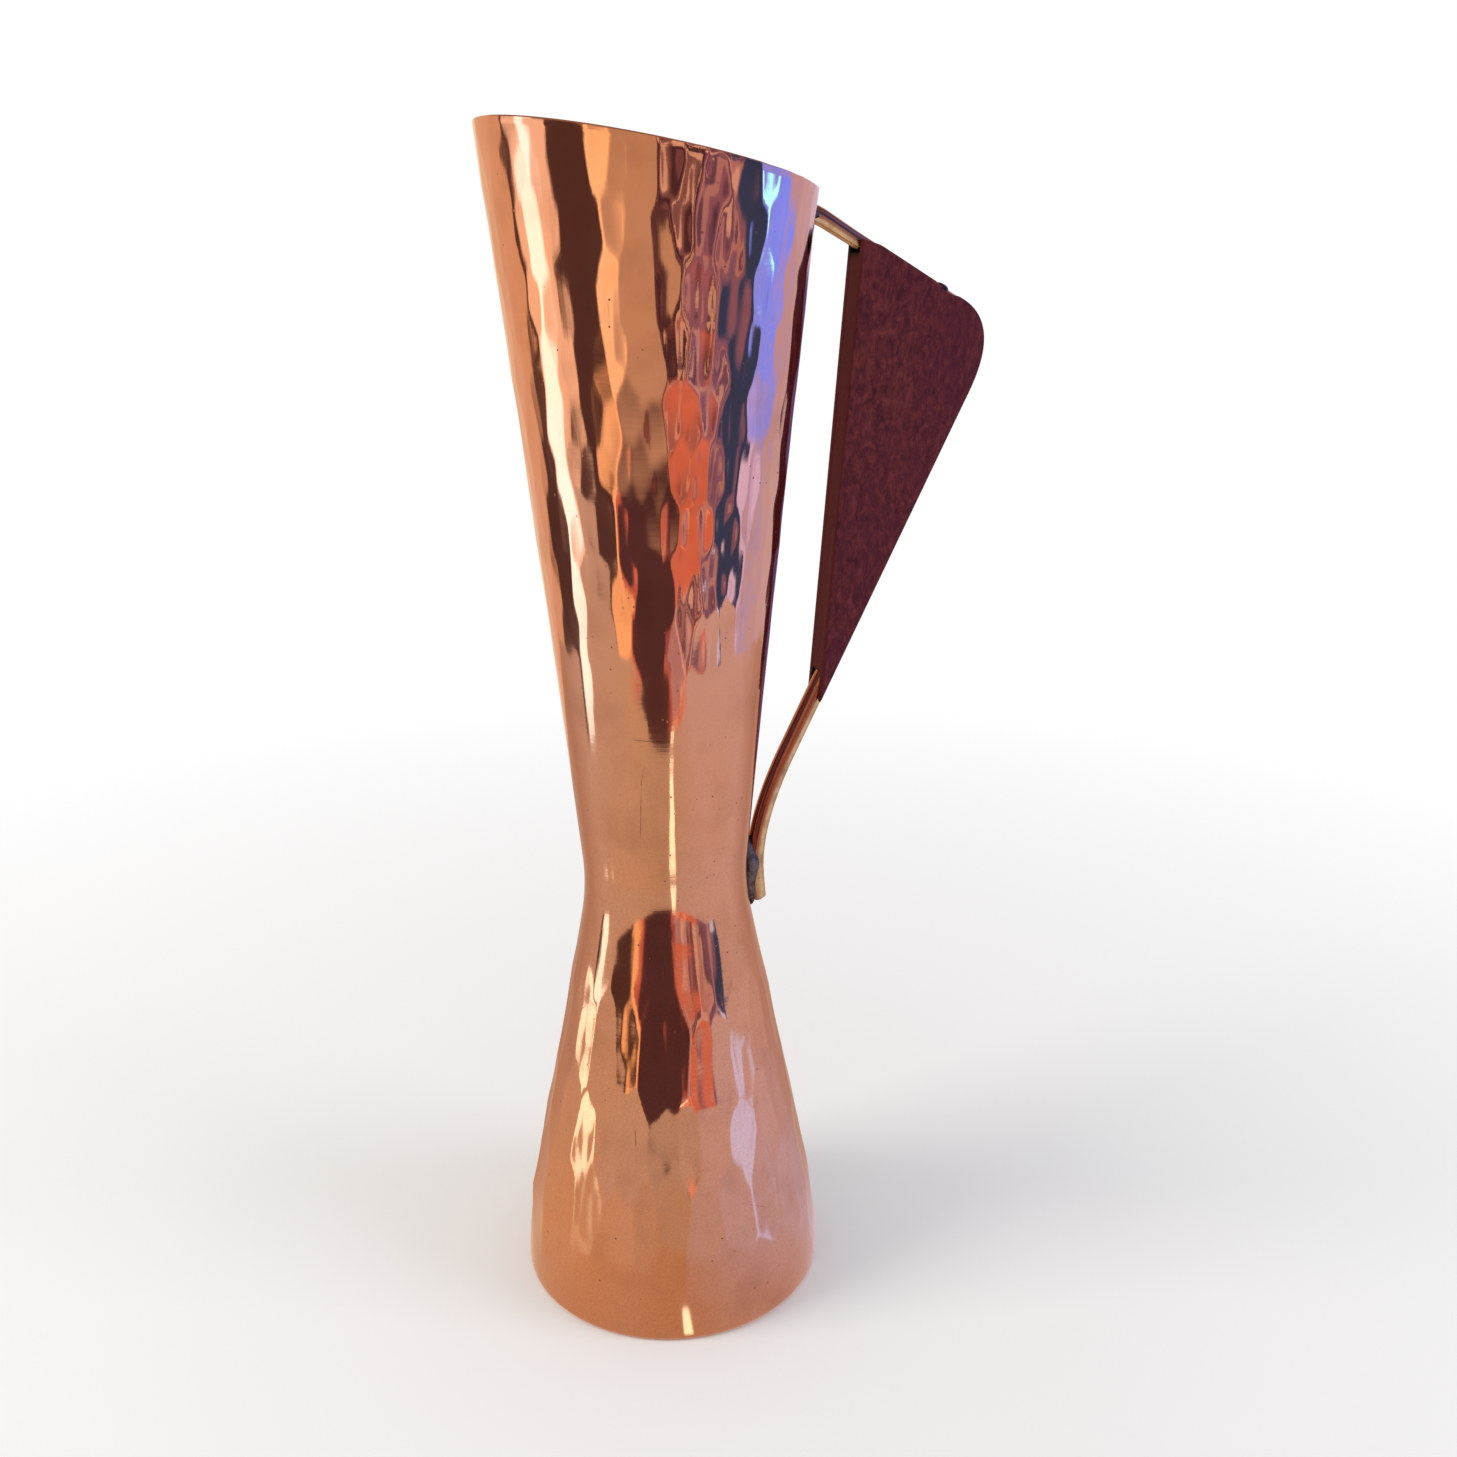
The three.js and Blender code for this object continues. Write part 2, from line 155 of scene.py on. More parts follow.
def add_attribute(piece, name, values):
    """A number for each point of a piece, which its material can read by name. Poles get the last one."""
    stored = piece.data.attributes.new(name, "FLOAT", "POINT")
    values = np.asarray(values, np.float32).ravel()
    extra = len(piece.data.vertices) - len(values)
    stored.data.foreach_set("value", np.append(values, np.full(extra, values[-1], np.float32)))

def finish_piece(piece, slot, *nodes):
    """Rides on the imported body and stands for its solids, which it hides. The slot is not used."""
    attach(piece, BODY)
    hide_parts(*nodes)

print("a grid of 3 rows and 4 columns has", len(grid_faces(3, 4)), "faces")

# %% [markdown]
# ## Small networks of nodes
# A material is a network: each node takes values in and gives values out. We wrap such a value in a small
# class of our own, so that a sum on it reads like ordinary arithmetic and Blender gets the node for it.

# %% Helpers: values that flow between nodes
class Signal:
    """One output of a node. A sum on it, such as a * b + 1, puts Math nodes into its tree."""
    def __init__(self, socket):
        self.socket = socket
        self.tree = socket.id_data

    def math(self, operation, *others):
        """One Math node on this value and on others, which are signals or plain numbers."""
        return out(self.tree, "Math", 0, dict(enumerate((self, *others))), operation=operation)

    # Python calls these four for the signs + - * and /
    def __add__(self, other):
        return self.math("ADD", other)

    def __sub__(self, other):
        return self.math("SUBTRACT", other)

    def __mul__(self, other):
        return self.math("MULTIPLY", other)

    def __truediv__(self, other):
        return self.math("DIVIDE", other)

def join(socket, value):
    """Joins a signal to a socket, or writes a plain value in. A colour of three numbers is made opaque."""
    if isinstance(value, Signal):
        value.tree.links.new(value.socket, socket)
    else:
        socket.default_value = (*value, 1) if socket.type == "RGBA" else value

def add(tree, kind, inputs=None, **settings):
    """A node of one kind, with its settings made and its inputs joined."""
    node = tree.nodes.new("ShaderNode" + kind)
    for name, value in settings.items():
        setattr(node, name, value)
    for name, value in (inputs or {}).items():
        join(node.inputs[name], value)
    return node

def out(tree, kind, output, inputs=None, **settings):
    """One output of a new node, as a signal."""
    return Signal(add(tree, kind, inputs, **settings).outputs[output])

def signals(sockets):
    """Named sockets as signals."""
    return {socket.name: Signal(socket) for socket in sockets if socket.name}

def between(value, low, high, from_low=0.0, from_high=1.0):
    """The value moved from one range to another and kept inside it."""
    inputs = {"Value": value, "From Min": from_low, "From Max": from_high, "To Min": low, "To Max": high}
    return out(value.tree, "MapRange", "Result", inputs)

sums = bpy.types.ShaderNodeMath.bl_rna.properties["operation"].enum_items
print("a signal knows", len(sums), "kinds of sum")

# %% Helpers: colours and patterns
def ramp(value, stops, interpolation="LINEAR"):
    """A colour for each value from 0 to 1, given as (position, colour) stops."""
    node = add(value.tree, "ValToRGB", {"Fac": value})
    node.color_ramp.interpolation = interpolation
    elements = node.color_ramp.elements
    for position, _ in stops[2:]:
        elements.new(position)
    for element, (position, colour) in zip(elements, sorted(stops, key=lambda stop: stop[0])):
        element.position = position
        element.color = (*colour, 1)
    return Signal(node.outputs["Color"])

def mixed(factor, first, second):
    """Two colours mixed by a factor."""
    return out(factor.tree, "Mix", 2, {0: factor, 6: first, 7: second}, data_type="RGBA")

def layered(colour, *layers):
    """A colour under others. Each of these is (mask, colour) and covers what lies under its mask."""
    for mask, layer in layers:
        colour = mixed(mask, colour, layer)
    return colour

def noise(place, scale, detail=2.0, roughness=0.5, distortion=0.0):
    """Soft random values from 0 to 1 at each place."""
    return out(place.tree, "TexNoise", "Fac", {"Vector": place, "Scale": scale, "Detail": detail,
                                               "Roughness": roughness, "Distortion": distortion})

def cells(place, scale):
    """A pattern of cells: the distance from the nearest cell's middle, and that cell's random number."""
    pattern = signals(add(place.tree, "TexVoronoi", {"Vector": place, "Scale": scale}).outputs)
    return pattern["Distance"], out(place.tree, "SeparateColor", "Red", {"Color": pattern["Color"]})

def mapped(place, scale=(1, 1, 1), turn=(0, 0, 0)):
    """A place turned, and measured with its own scale along each axis, which stretches a pattern."""
    return out(place.tree, "Mapping", "Vector", {"Vector": place, "Scale": scale, "Rotation": turn})

def coordinates(place):
    """The three numbers of a place."""
    return [Signal(part) for part in add(place.tree, "SeparateXYZ", {"Vector": place}).outputs]

def read_attribute(tree, name):
    """A number that the mesh keeps for each of its points."""
    return out(tree, "Attribute", "Fac", attribute_name=name)

# %% Helpers: materials
BUMP_DEPTH = 0.2 * MM

def new_material(name):
    """A material, its Principled shader, and the place in the row's frame that its patterns read."""
    material = bpy.data.materials.new(name)
    material.use_nodes = True
    tree = material.node_tree
    return material, tree.nodes["Principled BSDF"], out(tree, "TexCoord", "Object")

def dress(shader, colour, roughness, metallic, relief, strength, depth=BUMP_DEPTH):
    """Gives a shader its colour, its gloss, how far it is a metal, and a relief that only tips the light."""
    bump = {"Height": relief, "Strength": strength, "Distance": depth}
    sockets = {"Base Color": colour, "Roughness": roughness, "Metallic": metallic,
               "Normal": out(colour.tree, "Bump", "Normal", bump)}
    for name, value in sockets.items():
        join(shader.inputs[name], value)

def describe(*materials):
    """Prints how many nodes each material has."""
    for material in materials:
        print("finish", material.name, "has", len(material.node_tree.nodes), "nodes")

# %% [markdown]
# ## Wear that the metals share
# Old metal is never one colour. Handling leaves fine scratches, air leaves cloudy tarnish, and damp leaves
# tiny dark pits. Every metal here has all three in different amounts, so they are one group.

# %% Group: worn metal
WEAR_AMOUNTS = {"Cloud Scale": 30.0, "Pit Scale": 400.0, "Pit Share": 0.05, "Scratch Scale": 300.0}

def worn_metal_group():
    """Tarnish is a soft noise. Pits are round spots in a few cells of a cell pattern, and only inside some
    patches. Scratches are a noise that is stretched along two crossing directions."""
    group = bpy.data.node_groups.new("worn_metal", "ShaderNodeTree")
    group.interface.new_socket("Place", in_out="INPUT", socket_type="NodeSocketVector")
    for name, default in WEAR_AMOUNTS.items():
        socket = group.interface.new_socket(name, in_out="INPUT", socket_type="NodeSocketFloat")
        socket.default_value = default
    for name in ("Tarnish", "Pits", "Scratches"):
        group.interface.new_socket(name, in_out="OUTPUT", socket_type="NodeSocketFloat")
    given = signals(group.nodes.new("NodeGroupInput").outputs)
    result = group.nodes.new("NodeGroupOutput").inputs
    place = given["Place"]
    distance, chosen = cells(place, given["Pit Scale"])
    rare = chosen.math("LESS_THAN", given["Pit Share"])
    spot = between(distance, 1.0, 0.0, 0.12, 0.3)
    patch = between(noise(place, 45.0), 0.0, 1.0, 0.45, 0.6)
    upright = mapped(place, (1, 1, 0.06), (0.25, 0.1, 0))
    level = mapped(place, (0.08, 0.08, 1), (0.1, 0.3, 0))
    fine = [noise(way, given["Scratch Scale"], detail=3.0) for way in (upright, level)]
    join(result["Tarnish"], noise(place, given["Cloud Scale"], detail=5.0, roughness=0.6))
    join(result["Pits"], rare * spot * patch)
    join(result["Scratches"], fine[0] * fine[1])
    return group

worn_metal = worn_metal_group()
print("group:", worn_metal.name, [item.name for item in worn_metal.interface.items_tree])

def worn(place, *amounts):
    """The group's masks at a place, with one metal's own amounts."""
    inputs = {"Place": place, **dict(zip(WEAR_AMOUNTS, amounts))}
    return signals(add(place.tree, "Group", inputs, node_tree=worn_metal).outputs)

# %% [markdown]
# ## Copper
# Polished copper is a mirror that tints what it shows. Its colour drifts between orange and pink where the
# metal has been heated and cleaned by hand, and its gloss drifts too: the waist is rubbed to a satin. One
# noise, stretched up the wall, makes colour and gloss drift together. The shared group gives the wear.

# %% Material: copper wall
COPPER_ORANGE = (0.66, 0.31, 0.17)
COPPER_PINK = (0.64, 0.33, 0.23)
COPPER_DARK = (0.36, 0.15, 0.08)
PIT_BROWN = (0.16, 0.07, 0.04)
INSIDE_BROWN = (0.34, 0.145, 0.085)
SCRATCH_DEGREES = 0.28  # half width of an upright scratch
SCRATCH_WIDTH = 0.16 * MM  # half width of a level one
LONG_SCRATCHES = [  # the ends of dark scratches, as degrees round the vase and height in mm
    ((-128.0, 188.6), (-106.0, 188.4)), ((-120.0, 181.0), (-122.5, 176.0)),
    ((-122.5, 176.0), (-125.0, 158.0)), ((-126.5, 68.0), (-125.3, 57.0)), ((-76.0, 40.0), (-68.0, 36.5)),
]

def scratch_mask(place):
    """0.8 along each long scratch and 0 off it, broken up by a noise. A scratch is a straight line between
    its ends: off = place across - the line's place across, and inside is 1 between the two ends."""
    x, y, z = coordinates(place)
    degrees = y.math("ARCTAN2", x) * (180 / math.pi)
    total = None
    for (first_turn, first_height), (last_turn, last_height) in LONG_SCRATCHES:
        ends = [(first_height * MM, first_turn), (last_height * MM, last_turn)]
        tall = abs(last_height - first_height) > 0.5 * abs(last_turn - first_turn)
        along, across, width = (z, degrees, SCRATCH_DEGREES) if tall else (degrees, z, SCRATCH_WIDTH)
        low, high = sorted(ends if tall else [end[::-1] for end in ends])
        off = (across - between(along, low[1], high[1], low[0], high[0])).math("ABSOLUTE")
        inside = along.math("GREATER_THAN", low[0]) * along.math("LESS_THAN", high[0])
        hair = between(off, 0.8, 0.0, width * 0.6, width) * inside
        total = total.math("MAXIMUM", hair) if total else hair
    return total * between(noise(place, 260.0), 0.2, 1.0, 0.42, 0.55)

def copper_material(name, polished, satin, pit_share):
    """Copper with drifting tint, cloudy tarnish, pits and scratches. It is polished on the upper cone and
    satin at the waist and below, where a fine grain shows. The attribute `inside` turns it to the dull
    brown of copper that no cloth reaches."""
    material, shader, place = new_material(name)
    wear = worn(place, 60.0, 800.0, pit_share, 900.0)
    height = coordinates(place)[2]
    inside = read_attribute(place.tree, "inside")
    rubbed = between(height, 1.0, 0.0, 0.15, 0.23)
    drift = noise(mapped(place, (1, 1, 0.35)), 22.0, detail=3.0)
    grain = between(noise(place, 1500.0, detail=3.0, roughness=0.7), 0.0, 0.34, 0.40, 0.72) * rubbed
    marks = wear["Pits"].math("MAXIMUM", scratch_mask(place))
    tint = mixed(between(drift, 0.0, 1.0, 0.35, 0.65), COPPER_ORANGE, COPPER_PINK)
    colour = layered(tint, (between(wear["Tarnish"], 0.0, 0.42, 0.5, 0.8), COPPER_DARK),
                     (grain, COPPER_DARK), (marks, PIT_BROWN), (inside * 0.85, INSIDE_BROWN))
    gloss = between(rubbed, polished, satin) + between(height, 0.05, 0.0, 0.030, 0.075)
    gloss = gloss * between(drift, 0.8, 1.25, 0.3, 0.7) + inside * 0.38 + wear["Pits"] * 0.5
    dress(shader, colour, gloss, between(inside, 1.0, 0.35), wear["Scratches"] - wear["Pits"], 0.06)
    return material

copper = copper_material("copper_wall", 0.07, 0.085, 0.03)
copper_bottom = copper_material("copper_bottom", 0.3, 0.42, 0.08)
describe(copper, copper_bottom)

# %% [markdown]
# ## Brass, solder and pin
# The rod is yellow brass. On the side towards the vase, and on the upper side of its top stretch, its colour
# is a red-brown painted reflection. Solder is a soft grey metal that goes nearly black where flux has stayed
# in its hollows. The pin's head is dark and worn. All three are metals with the same kinds of wear in other
# amounts.

# %% Materials: brass, solder, pin
def worn_material(name, bright, dull, roughness, amounts, dull_range, strength, painted_reflection=None):
    """A metal whose tarnish mixes a bright and a dull colour, and makes it less glossy. Where a colour of
    painted reflection is given, the mesh's attribute of the same name brings it in as painted reflection."""
    material, shader, place = new_material(name)
    wear = worn(place, *amounts)
    dulled = between(wear["Tarnish"], 0.0, 1.0, *dull_range)
    colour = mixed(dulled, bright, dull)
    if painted_reflection:
        # painted reflection: red-brown on the rod's side towards the vase and on its top stretch's upper side
        colour = mixed(read_attribute(place.tree, "painted_reflection"), colour, painted_reflection)
    colour = mixed(wear["Pits"], colour, PIT_BROWN)
    relief = wear["Scratches"] - (wear["Pits"] + dulled)
    dress(shader, colour, between(dulled, *roughness), 1.0, relief, strength)
    return material

# the last colour is the red-brown painted reflection on the rod
brass = worn_material("brass_rod", (0.64, 0.44, 0.21), (0.36, 0.22, 0.10), (0.18, 0.32),
                      (220.0, 900.0, 0.1, 600.0), (0.42, 0.70), 0.05, painted_reflection=(0.33, 0.12, 0.07))
solder = worn_material("solder", (0.17, 0.135, 0.105), (0.028, 0.022, 0.018), (0.5, 0.7),
                       (200.0, 900.0, 0.15, 900.0), (0.42, 0.62), 0.4)
dark_pin = worn_material("dark_pin", (0.14, 0.07, 0.06), (0.04, 0.02, 0.02), (0.28, 0.45),
                         (500.0, 1500.0, 0.1, 2000.0), (0.45, 0.6), 0.2)
describe(brass, solder, dark_pin)

# %% [markdown]
# ## Dark wood
# The grip is a dense dark red wood, oiled once and dry now. Its grain runs along the board's long inner
# edge. Three noises that are stretched along the grain give it: a broad one for patches, a fine one for
# the mottle and a finer one for the pores, which are short dark lines.

# %% Material: dark wood
GRAIN_LEAN = math.radians(-6)
WOOD_STOPS = [(0.36, (0.054, 0.008, 0.014)), (0.5, (0.104, 0.017, 0.024)), (0.64, (0.170, 0.034, 0.035))]
WOOD_PURPLE = (0.080, 0.011, 0.026)
WOOD_RED = (0.150, 0.028, 0.026)
PORE_DARK = (0.045, 0.008, 0.010)
HANDLED_RED = (0.180, 0.030, 0.024)
# the black of the painted shade in the groove and at its open end
PAINTED_SHADE_BLACK = (0.010, 0.005, 0.005)

def wood_material():
    """Mottled bands and short pores along the grain, mixed from dark reds, with a dull oily gloss. One
    attribute blackens the groove and the broken end of the cheek as painted shade; `handled` reddens the
    inner edge."""
    material, shader, place = new_material("dark_wood")
    turned = mapped(place, turn=(0, GRAIN_LEAN, 0))
    mottle = noise(mapped(turned, (1, 1, 0.6)), 430.0, detail=6.0, roughness=0.75, distortion=0.4)
    pores = between(noise(mapped(turned, (1, 1, 0.25)), 1500.0), 0.5, 0.0, 0.34, 0.44)
    patches = noise(mapped(turned, (1, 1, 0.6)), 70.0, detail=4.0, roughness=0.6)
    colour = layered(ramp(mottle, WOOD_STOPS),
                     (between(patches, 0.0, 0.5, 0.45, 0.65), WOOD_PURPLE),
                     (between(patches, 0.4, 0.0, 0.32, 0.44), WOOD_RED),
                     (pores, PORE_DARK),
                     (read_attribute(place.tree, "handled") * 0.7, HANDLED_RED),
                     # painted shade: black in the groove and on the rear side of its open end
                     (read_attribute(place.tree, "painted_shade"), PAINTED_SHADE_BLACK))
    dress(shader, colour, between(mottle, 0.6, 0.8, 0.3, 0.7), 0.0, mottle - pores, 0.3, 0.3 * MM)
    shader.inputs["Specular IOR Level"].default_value = 0.12
    return material

dark_wood = wood_material()
describe(dark_wood)

# %% [markdown]
# ## The hammered wall
# A raised vase keeps the marks of the hammer: rows of shallow bowls that meet in soft ridges. We can copy
# that with one idea. Give every blow a centre, and let the surface be the lowest of all the bowls round
# those centres. Where two bowls meet, a ridge appears by itself.

# %% Profile of the wall
RIM_HEIGHT = cad_box[1].z
RIM_DROP = 18 * MM
RIM_RADIUS = 46 * MM
RIM_FLARE = 2 * MM
WAIST_HEIGHT = 133 * MM
WAIST_RADIUS = 24.3 * MM
WAIST_BLEND = 10 * MM
BASE_RADIUS = 47.6 * MM
SKIRT_HEIGHT = 11.3 * MM
SKIRT_BLEND = 17 * MM
EDGE_RADIUS = 2 * MM
WALL = 1 * MM
LEDGE_WIDTH = 4 * MM
RIM_SLOPE = RIM_DROP / (2 * RIM_RADIUS)

def bend(start, corner, end, steps):
    """Points on a bend: the mean of start, corner and end, weighted (1-t)², 2t(1-t) and t²."""
    t = np.linspace(0, 1, steps)[:, None]
    return (1 - t) ** 2 * np.array(start) + 2 * t * (1 - t) * np.array(corner) + t ** 2 * np.array(end)

def lower_cone(height):
    """Radius on the straight line from the skirt's corner to the waist's corner."""
    share = (height - SKIRT_HEIGHT) / (WAIST_HEIGHT - SKIRT_HEIGHT)
    return BASE_RADIUS + (WAIST_RADIUS - BASE_RADIUS) * share

def upper_cone(height):
    """Radius on the straight line from the waist's corner to the rim, without the rim's flare."""
    share = (height - WAIST_HEIGHT) / (RIM_HEIGHT - WAIST_HEIGHT)
    return WAIST_RADIUS + (RIM_RADIUS - RIM_FLARE - WAIST_RADIUS) * share

def wall_profile():
    """Radius and height up the outside, as bends joined by straight lines."""
    skirt_top = SKIRT_HEIGHT + SKIRT_BLEND
    low, high = WAIST_HEIGHT - WAIST_BLEND, WAIST_HEIGHT + WAIST_BLEND
    middle = (high + RIM_HEIGHT) / 2
    edge = bend((BASE_RADIUS - EDGE_RADIUS, 0), (BASE_RADIUS, 0), (BASE_RADIUS, EDGE_RADIUS), 12)
    skirt = bend((BASE_RADIUS, EDGE_RADIUS), (BASE_RADIUS, SKIRT_HEIGHT),
                 (lower_cone(skirt_top), skirt_top), 30)
    waist = bend((lower_cone(low), low), (WAIST_RADIUS, WAIST_HEIGHT), (upper_cone(high), high), 30)
    cone = bend((upper_cone(high), high), (upper_cone(middle), middle), (RIM_RADIUS, RIM_HEIGHT), 60)
    return np.vstack([edge, skirt[1:], waist, cone[1:]])

profile = wall_profile()
print("wall profile:", len(profile), "points, waist radius", round(profile[:, 0].min() / MM, 2), "mm")

# %% Hammer marks
MARKS_AROUND = 50
MARK_HEIGHT = 15 * MM
WIDE_MARKS_AROUND = 27
WIDE_MARK_HEIGHT = 26 * MM
MARK_SOFTNESS = 14
DEEPEST_BEARING = math.radians(-90)
UPPER_FADE_IN = (186 * MM, 244 * MM)  # marks grow or fade between these heights
LOWER_FADE_IN = (8 * MM, 30 * MM)
LOWER_SOFTEN = (58 * MM, 78 * MM)
LOWER_FADE_OUT = (98 * MM, 118 * MM)

def hammer_marks(angle, height, around, mark_height, seed):
    """Height of the surface above the middle of its own mark, from 0 to about 1. Each mark is a bowl:
    4 across² + 4 up² + a random lift, with places counted in marks. A soft lowest of the nine nearest
    bowls counts: -log(sum of exp(-k bowl)) / k, which rounds the ridges between them."""
    rng = np.random.default_rng(seed)
    rows = int(RIM_HEIGHT / mark_height) + 6
    shift = rng.uniform(-0.3, 0.3, (2, rows, around))
    lift = rng.uniform(0, 0.6, (rows, around))
    across = (angle / (2 * np.pi) % 1) * around
    up = height / mark_height + 2
    total = np.zeros(np.broadcast_shapes(np.shape(angle), np.shape(height)))
    for row_step in (-1, 0, 1):
        for column_step in (-1, 0, 1):
            row = np.floor(up).astype(int) + row_step
            stagger = 0.5 * (row % 2)
            column = np.floor(across - stagger).astype(int) + column_step
            cell = (np.clip(row, 0, rows - 1), column % around)
            side = across - stagger - (column + 0.5 + shift[0][cell])
            rise = up - (row + 0.5 + shift[1][cell])
            total += np.exp(-MARK_SOFTNESS * (4 * side ** 2 + 4 * rise ** 2 + lift[cell]))
    return -np.log(total) / MARK_SOFTNESS

def smooth_step(value, low, high):
    """0 below low, 1 above high, and an even S between."""
    t = np.clip((value - low) / (high - low), 0, 1)
    return t * t * (3 - 2 * t)

def wall_relief(angle, height):
    """Metres to move the wall outwards: narrow marks on the upper cone, deepest a little to the right of
    the front, faint ones at the waist, wide ones below, on top of long waves of the whole sheet."""
    upper = smooth_step(height, *UPPER_FADE_IN)
    lower = smooth_step(height, *LOWER_FADE_IN) * (1 - smooth_step(height, *LOWER_FADE_OUT))
    lower *= 1 - 0.4 * smooth_step(height, *LOWER_SOFTEN)
    from_deep = (angle - DEEPEST_BEARING + np.pi) % (2 * np.pi) - np.pi
    deep = 0.36 + 0.82 * np.exp(-(from_deep / math.radians(27)) ** 2)
    flatter = 0.5 + 0.5 * np.exp(-(from_deep / math.radians(42)) ** 2)
    narrow = hammer_marks(angle, height, MARKS_AROUND, MARK_HEIGHT, 5)
    wide = hammer_marks(angle + 0.7, height, WIDE_MARKS_AROUND, WIDE_MARK_HEIGHT, 9)
    waves = np.sin(3 * angle + height * 31) + np.sin(5 * angle - height * 47 + 1)
    return (MM * narrow * (0.17 * upper * deep + 0.07 * lower + 0.006)
            + MM * wide * (0.15 * upper * flatter + 0.40 * lower + 0.012) + 0.05 * MM * waves)

for height in (60 * MM, 140 * MM, 280 * MM):
    relief = wall_relief(turns(360), np.full(360, height)) / MM
    print(f"relief {height / MM:.0f} mm up: {relief.min():.2f} to {relief.max():.2f} mm")

# %% Wall piece
COLUMNS = 400

def rim_height(x):
    """Height of the slanting rim plane over a place."""
    return RIM_HEIGHT - RIM_DROP / 2 - RIM_SLOPE * x

def wall_points():
    """The angles of the columns, and the heights of the rings up the outside. Rings lie closer together
    where the profile bends."""
    bottom = WAIST_HEIGHT + WAIST_BLEND
    levels = np.concatenate([
        np.linspace(EDGE_RADIUS, SKIRT_HEIGHT + SKIRT_BLEND, 14),
        np.linspace(SKIRT_HEIGHT + SKIRT_BLEND, WAIST_HEIGHT - WAIST_BLEND, 46)[1:],
        np.linspace(WAIST_HEIGHT - WAIST_BLEND, bottom, 14)[1:],
        np.linspace(bottom, RIM_HEIGHT, 112)[1:],
    ])
    return turns(COLUMNS), levels

def radius_at(height):
    """Outside radius at a height, read off the profile."""
    return np.interp(height, profile[:, 1], profile[:, 0])

def rings(levels, inset, angle):
    """Points on rings at levels of the outside, moved inwards by an inset along the wall's normal. Above
    the waist a ring's height is squeezed so that the last one lies in the rim's slanting plane."""
    bottom = WAIST_HEIGHT + WAIST_BLEND
    top = rim_height(RIM_RADIUS * np.cos(angle))
    share = np.clip((levels[:, None] - bottom) / (RIM_HEIGHT - bottom), 0, None)
    height = np.where(levels[:, None] > bottom, bottom + share * (top - bottom), levels[:, None])
    step = 0.2 * MM
    slope = (radius_at(height + step) - radius_at(height - step)) / (2 * step)
    length = np.sqrt(1 + slope ** 2)
    radius = radius_at(height) + wall_relief(angle[None, :], height)
    return stacked((radius - inset / length) * np.cos(angle), (radius - inset / length) * np.sin(angle),
                   height + inset * slope / length)

def wall_grid():
    """All rings of the closed sheet: ledge, outside, rounded rim, inside, and back to the ledge. With them
    comes a number for each point, 1 on the inside and 0 elsewhere."""
    angle, levels = wall_points()
    def flat_ring(radius, height):
        """One level ring without relief."""
        return stacked(np.cos(angle) * radius, np.sin(angle) * radius, height)[None]
    opening = BASE_RADIUS - EDGE_RADIUS - LEDGE_WIDTH
    outer = rings(levels, 0, angle)
    lower_edge = [flat_ring(BASE_RADIUS - EDGE_RADIUS * (1 - np.sin(t)), EDGE_RADIUS * (1 - np.cos(t)))
                  for t in np.linspace(0, np.pi / 2, 7)[:-1]]
    lip = []
    for t in np.linspace(0, np.pi, 7)[1:-1]:
        top = rings(levels[-1:], WALL / 2 * (1 - np.cos(t)), angle)
        top[..., 2] += WALL * 0.35 * np.sin(t)
        lip.append(top)
    inner_levels = levels[levels > EDGE_RADIUS + WALL][::-4]
    inner = rings(inner_levels, WALL, angle)
    inner_edge = [flat_ring(BASE_RADIUS - WALL - (EDGE_RADIUS - WALL / 2) * (1 - np.cos(t)),
                            WALL + (EDGE_RADIUS - WALL / 2) * (1 - np.sin(t))) for t in (0.3, 0.9, 1.5)]
    seen = [flat_ring(opening, 0), *lower_edge, outer, *lip]
    hidden = [inner, *inner_edge, flat_ring(opening, WALL)]
    inside = np.repeat([0.0, 1.0], [sum(map(len, seen)) * COLUMNS, sum(map(len, hidden)) * COLUMNS])
    return np.concatenate(seen + hidden), inside

wall, wall_inside = wall_grid()
hammered_wall = mesh_piece("hammered_wall", wall, grid_faces(len(wall), COLUMNS, closed_rows=True), copper)
add_attribute(hammered_wall, "inside", wall_inside)
finish_piece(hammered_wall, "copper_wall", "vase_body")

# %% [markdown]
# ## The brass rod
# The handle is one round rod, bent cold at three corners and thinnest where it enters the grip. A curve
# with a round bevel would give it too, but we draw its centre line in the handle's plane and carry a circle
# along it, because then each ring can have its own radius and its own share of patina.

# %% Centre line of the rod
JOINT_HEIGHT = RIM_HEIGHT - RIM_DROP - 3.6 * MM
JOINT_RADIUS = float(radius_at(JOINT_HEIGHT))
NECK_LENGTH = 4.6 * MM
NECK_SLOPE = math.radians(14)
TOP_SLOPE = math.radians(29)
HANDLE_REACH = 106.2 * MM
GRIP_TOP_LENGTH = 52.4 * MM
GRIP_OUTER_LENGTH = 124 * MM
CORNER_BEND_TOP = 14 * MM
CORNER_BEND_OUTER = 22 * MM
NECK_BEND = 3 * MM
FOOT_BEND_UPPER = 26 * MM
FOOT_BEND_LOWER = 17 * MM
ROD_INTO_WALL = 0.45 * MM
ROD_ROOT_RADIUS = 2.6 * MM
ROD_TOP_RADIUS = 2.2 * MM
ROD_TIP_RADIUS = 2.8 * MM
ROD_FOOT_RADIUS = 2.7 * MM
FOOT_HEIGHT = WAIST_HEIGHT - 11.7 * MM
FOOT_RISE = 25.4 * MM
FOOT_LEAN = math.radians(5)
FOOT_FROM_WALL = 4.2 * MM
FOOT_ROUNDING = 1.4 * MM

def towards(start, goal, length):
    """The point a given length from start on the way to goal."""
    way = np.subtract(goal, start)
    return np.add(start, way / np.linalg.norm(way) * length)

def bent_line(start, corners, end, steps=12):
    """A line through corners. Each corner is (place, length of bend before it, length after it)."""
    stops = [start, *(place for place, _, _ in corners), end]
    parts = [np.array(start)[None]]
    for i, (place, before, after) in enumerate(corners, 1):
        first, last = towards(place, stops[i - 1], before), towards(place, stops[i + 1], after)
        parts.append(bend(first, place, last, steps))
    return np.vstack([*parts, np.array(end)[None]])

